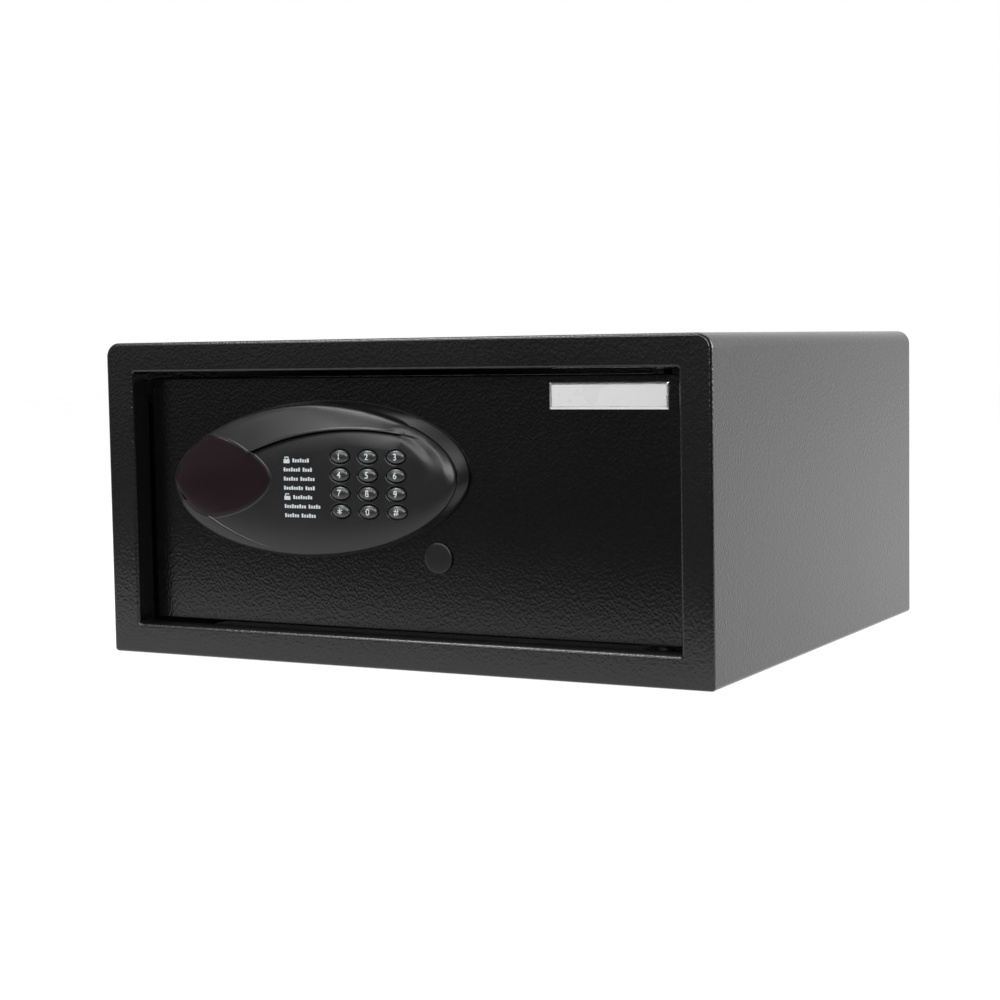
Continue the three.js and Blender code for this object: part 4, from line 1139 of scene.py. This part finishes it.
def build_legend():
    """The printed marks between the window and the keys, draped over the panel."""
    form = PanelForm()
    verts, faces = [], []
    left, top = -17.6, 12.1
    longest = 1.2
    over, under = 0.05, -0.3
    for x0, x1, y0, y1 in legend_bars():
        cells = max(int((x1 - x0) / longest), 1)
        start = len(verts)
        for i in range(cells + 1):
            x = (left + x0 + (x1 - x0) * i / cells) * MM
            for y, lift in ((y0, under), (y0, over), (y1, over), (y1, under)):
                up = (top + y) * MM
                verts.append(form.world(x, up, form.height(x, up) + lift * MM))
        for i in range(cells):
            here = start + i * 4
            for side in range(4):
                other = (side + 1) % 4
                faces.append((here + side, here + other, here + 4 + other, here + 4 + side))
        faces.append(tuple(range(start, start + 4)))
        last = start + cells * 4
        faces.append(tuple(range(last + 3, last - 1, -1)))
    piece("legend", verts, faces, "panel_plastic", "door", (), "ink", 30)


# Emergency lock

def build_lock():
    """The round cover of the emergency lock, with the core behind it."""
    low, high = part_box("lock_cover")
    x, _, z = centre("lock_cover")
    radius = (high.x - low.x) / 2
    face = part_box("door_plate")[0].y
    stem = 7.8 * MM
    profile = [
        (0, high.y), (stem - 0.4 * MM, high.y), (stem, high.y - 0.4 * MM), (stem, face - 0.3 * MM),
        (radius - 0.2 * MM, face - 0.3 * MM), (radius, face - 0.5 * MM), (radius, face - 1.1 * MM),
        (radius - 0.15 * MM, face - 1.45 * MM), (radius - 0.5 * MM, face - 1.68 * MM),
        (radius - 1.1 * MM, face - 1.78 * MM), (radius * 0.7, face - 1.9 * MM),
        (radius * 0.35, low.y + 0.03 * MM), (0, low.y),
    ]
    skin = turned(profile, "y", (x, 0, z), 64)
    piece("plug", *skin, "panel_plastic", "lock_cover", ("lock_cover",), "plug_plastic")
    dressed("plain_steel", "lock_core")


# Bolt work and inner cover

def build_bolts():
    """The two round bolts, and the finishes of the CAD nodes they work with."""
    s = sizes()
    r, nose, neck = s.bolt, s.bolt_nose, s.bolt_neck
    for name in ("upper_bolt", "lower_bolt"):
        low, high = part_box(name)
        _, y, z = centre(name)
        shoulder = low.x + s.bolt_length
        profile = [
            (0, low.x), (r - nose - 0.2 * MM, low.x), (r - nose, low.x + 0.1 * MM),
            (r - 0.15 * MM, low.x + nose - 0.1 * MM), (r, low.x + nose + 0.1 * MM),
            (r, shoulder - 0.2 * MM), (r - 0.2 * MM, shoulder), (neck, shoulder),
            (neck, high.x - 0.3 * MM), (neck - 0.3 * MM, high.x), (0, high.x),
        ]
        piece(f"{name}_rod", *turned(profile, "x", (0, y, z), 64), "plain_steel", "bolt_carriage", (name,))
    dressed("zinc_steel", "bolt_carriage", "upper_bolt_guide", "lower_bolt_guide", "gearbox")
    dressed("plain_steel", "drive_motor", "guide_post_1", "guide_post_2")
    dressed("brass", "drive_pinion")


def build_cover():
    """The inner cover's fittings."""
    dressed("black_coat", "inner_cover")
    dressed("plain_steel", *[f"cover_screw_{index}" for index in range(1, 5)])
    dressed("black_plastic", "battery_tray", "battery_cover", "reset_switch")
    dressed("red_plastic", "reset_button")
    dressed("cell_wrap", *[f"battery_{index}" for index in range(1, 5)])


# Stage

def area_lamp(name, place, aim, size, power):
    """A soft lamp at a place, turned to an aim."""
    lamp = bpy.data.lights.new(name, "AREA")
    lamp.shape = "RECTANGLE"
    lamp.size, lamp.size_y = size
    lamp.energy = power
    obj = bpy.data.objects.new(name, lamp)
    obj.location = place
    obj.rotation_euler = (Vector(aim) - Vector(place)).to_track_quat("-Z", "Y").to_euler()
    bpy.context.scene.collection.objects.link(obj)
    return obj


def build_world():
    """A studio that is white behind and under the safe, and dark in front of it."""
    world = bpy.data.worlds.new("studio")
    bpy.context.scene.world = world
    tree = Tree(world)
    x, y, z = tree.add("ShaderNodeTexCoord", {}, {}, "Generated").parts()
    camera = tree.add("ShaderNodeLightPath", {}, {}, "Is Camera Ray")
    behind = tree.span(y, 0.05, 0.6, 0.05, 0.95)
    wall = tree.span(z - x * 0.3, 0.08, 0.2, 0, 0.34) * tree.span(x, -0.65, -0.3, 1, 0.7)
    around = tree.mix(behind.larger(wall), (0, 0, 0), (1, 1, 1))
    color = tree.mix(camera, around, (1, 1, 1))
    background = tree.add("ShaderNodeBackground", {}, {"Color": color, "Strength": 1.0})
    tree.node("ShaderNodeOutputWorld", {}, {"Surface": background})


def build_floor():
    """A white floor that keeps a soft shadow."""
    material = bpy.data.materials.new("white_floor")
    tree = Tree(material)
    path = tree.node("ShaderNodeLightPath").outputs
    camera = Wire(tree, path["Is Camera Ray"])
    mirrored = Wire(tree, path["Is Glossy Ray"]).larger(Wire(tree, path["Is Transmission Ray"]))
    across, ahead, _ = tree.place().parts()
    near = tree.span(ahead - across * 0.2, -0.46, -0.2)
    grey = tree.mix(near.larger(camera), (0.06, 0.06, 0.06), (0.85, 0.85, 0.85))
    matt = tree.add("ShaderNodeBsdfDiffuse", {}, {"Color": grey})
    glow = tree.add("ShaderNodeEmission", {}, {"Color": (1, 1, 1), "Strength": 1.13})
    share = camera * 0.82 + mirrored * near * 0.95
    mixed = tree.add("ShaderNodeMixShader", {}, {0: share, 1: matt, 2: glow})
    tree.node("ShaderNodeOutputMaterial", {}, {"Surface": mixed})
    mesh = bpy.data.meshes.new("floor")
    half = 6
    corners = [(-half, -half, 0), (half, -half, 0), (half, half, 0), (-half, half, 0)]
    mesh.from_pydata(corners, [], [(0, 1, 2, 3)])
    mesh.materials.append(material)
    floor = bpy.data.objects.new("floor", mesh)
    floor.location.z = -0.0004
    bpy.context.scene.collection.objects.link(floor)


def build_camera():
    """The camera at the photograph's viewing angle."""
    azimuth, elevation, roll = 0.49037, 0.07558, -0.01659
    distance = 1.19234
    aim = Vector((0.07671, -0.185, 0.10468))
    level = math.cos(elevation)
    back = Vector((math.sin(azimuth) * level, -math.cos(azimuth) * level, math.sin(elevation)))
    right = Vector((math.cos(azimuth), math.sin(azimuth), 0))
    up = back.cross(right)
    across = math.cos(roll) * right + math.sin(roll) * up
    upright = -math.sin(roll) * right + math.cos(roll) * up
    camera = bpy.data.cameras.new("camera")
    camera.sensor_width = 36
    camera.lens = 73.616
    camera.clip_start = 0.01
    camera.clip_end = 100
    obj = bpy.data.objects.new("camera", camera)
    turned_to = Matrix((across, upright, back)).transposed().to_4x4()
    obj.matrix_world = Matrix.Translation(aim + back * distance) @ turned_to
    bpy.context.scene.collection.objects.link(obj)
    bpy.context.scene.camera = obj


def build_stage():
    """Camera, world, floor and lamps."""
    build_camera()
    build_world()
    build_floor()
    middle = (0, -0.185, 0.1)
    area_lamp("high_softbox", (-0.38, -1.65, 0.92), middle, (1.84, 0.55), 10.9)
    area_lamp("crown_softbox", (-0.47, -0.58, 1.55), middle, (1.0, 0.32), 6.5)
    area_lamp("right_softbox", (0.45, -1.7, 0.62), middle, (0.45, 0.6), 8)
    area_lamp("upper_softbox", (-0.81, -0.67, 1.48), middle, (0.5, 0.5), 10)
    area_lamp("strip_light", (-0.45, -1.43, 1.0), middle, (1.2, 0.14), 2.4)
    area_lamp("side_softbox", (1.9, 1.1, 0.9), (0.2, 0, 0.1), (1.6, 1.4), 60)
    area_lamp("top_softbox", (0.1, 0.3, 1.9), (0, 0, 0.1), (1.6, 1.2), 24)
    inner = area_lamp("inner_fill", (0, 0.02, 0.19), (0, 0.02, 0), (0.3, 0.25), 0.08)
    inner.visible_camera = False
    bpy.context.scene.view_settings.view_transform = "Standard"


# Operators

class RoomSafeOperator:
    """What the add-on's operators share: one builder that runs when the operator does."""

    bl_options = {"REGISTER", "UNDO"}
    builders = ()

    def execute(self, context):
        if not FINISHES:
            FINISHES.update(make_finishes())
        for builder in self.builders:
            builder()
        return {"FINISHED"}


def operator(identity, label, description, *builders):
    """An operator class for these builders."""
    return type("ROOM_SAFE_OT_" + identity, (RoomSafeOperator, bpy.types.Operator), {
        "__doc__": description,
        "bl_idname": "room_safe." + identity,
        "bl_label": label,
        "builders": builders,
    })


OPERATORS = [
    operator("cabinet", "Cabinet", "Builds the folded steel cabinet", build_cabinet),
    operator("mat", "Floor mat", "Lays the felt mat in the cabinet", build_mat),
    operator("door", "Door", "Builds the recessed door", build_door),
    operator("plate", "Bare plate", "Adds the bare metal plate on the door", build_plate),
    operator("panel", "Keypad panel", "Builds the moulded keypad panel", build_panel),
    operator("window", "Display window", "Builds the smoked window", build_window),
    operator("keys", "Keys", "Builds the keys and their figures", build_keys, build_figures),
    operator("legend", "Printed marks", "Prints the generic marks beside the keys", build_legend),
    operator("lock", "Emergency lock", "Builds the emergency lock's cover", build_lock),
    operator("bolts", "Bolt work", "Builds the bolts and finishes the bolt work", build_bolts),
    operator("cover", "Inner cover", "Finishes the inner cover and what is on it", build_cover),
    operator("stage", "Stage", "Sets the camera, floor and light", build_stage),
]


class ROOM_SAFE_PT_pieces(bpy.types.Panel):
    """Lists the pieces in the sidebar"""

    bl_label = "Room Safe"
    bl_idname = "ROOM_SAFE_PT_pieces"
    bl_space_type = "VIEW_3D"
    bl_region_type = "UI"
    bl_category = "Room Safe"

    def draw(self, context):
        for item in OPERATORS:
            self.layout.operator(item.bl_idname)


CLASSES = [RoomSafeSizes, RoomSafeColours, RoomSafe, *OPERATORS, ROOM_SAFE_PT_pieces]


def register():
    """Registers the classes and the scene's settings."""
    for item in CLASSES:
        bpy.utils.register_class(item)
    bpy.types.Scene.room_safe = PointerProperty(
        type=RoomSafe, name="Room safe", description="Sizes and colours of the room safe",
    )


def unregister():
    """Takes them out again."""
    del bpy.types.Scene.room_safe
    for item in reversed(CLASSES):
        bpy.utils.unregister_class(item)


def main():
    """Builds the whole safe."""
    register()
    for item in OPERATORS:
        getattr(bpy.ops.room_safe, item.bl_idname.split(".")[1])()
    bpy.context.view_layer.update()


if __name__ == "__main__":
    main()
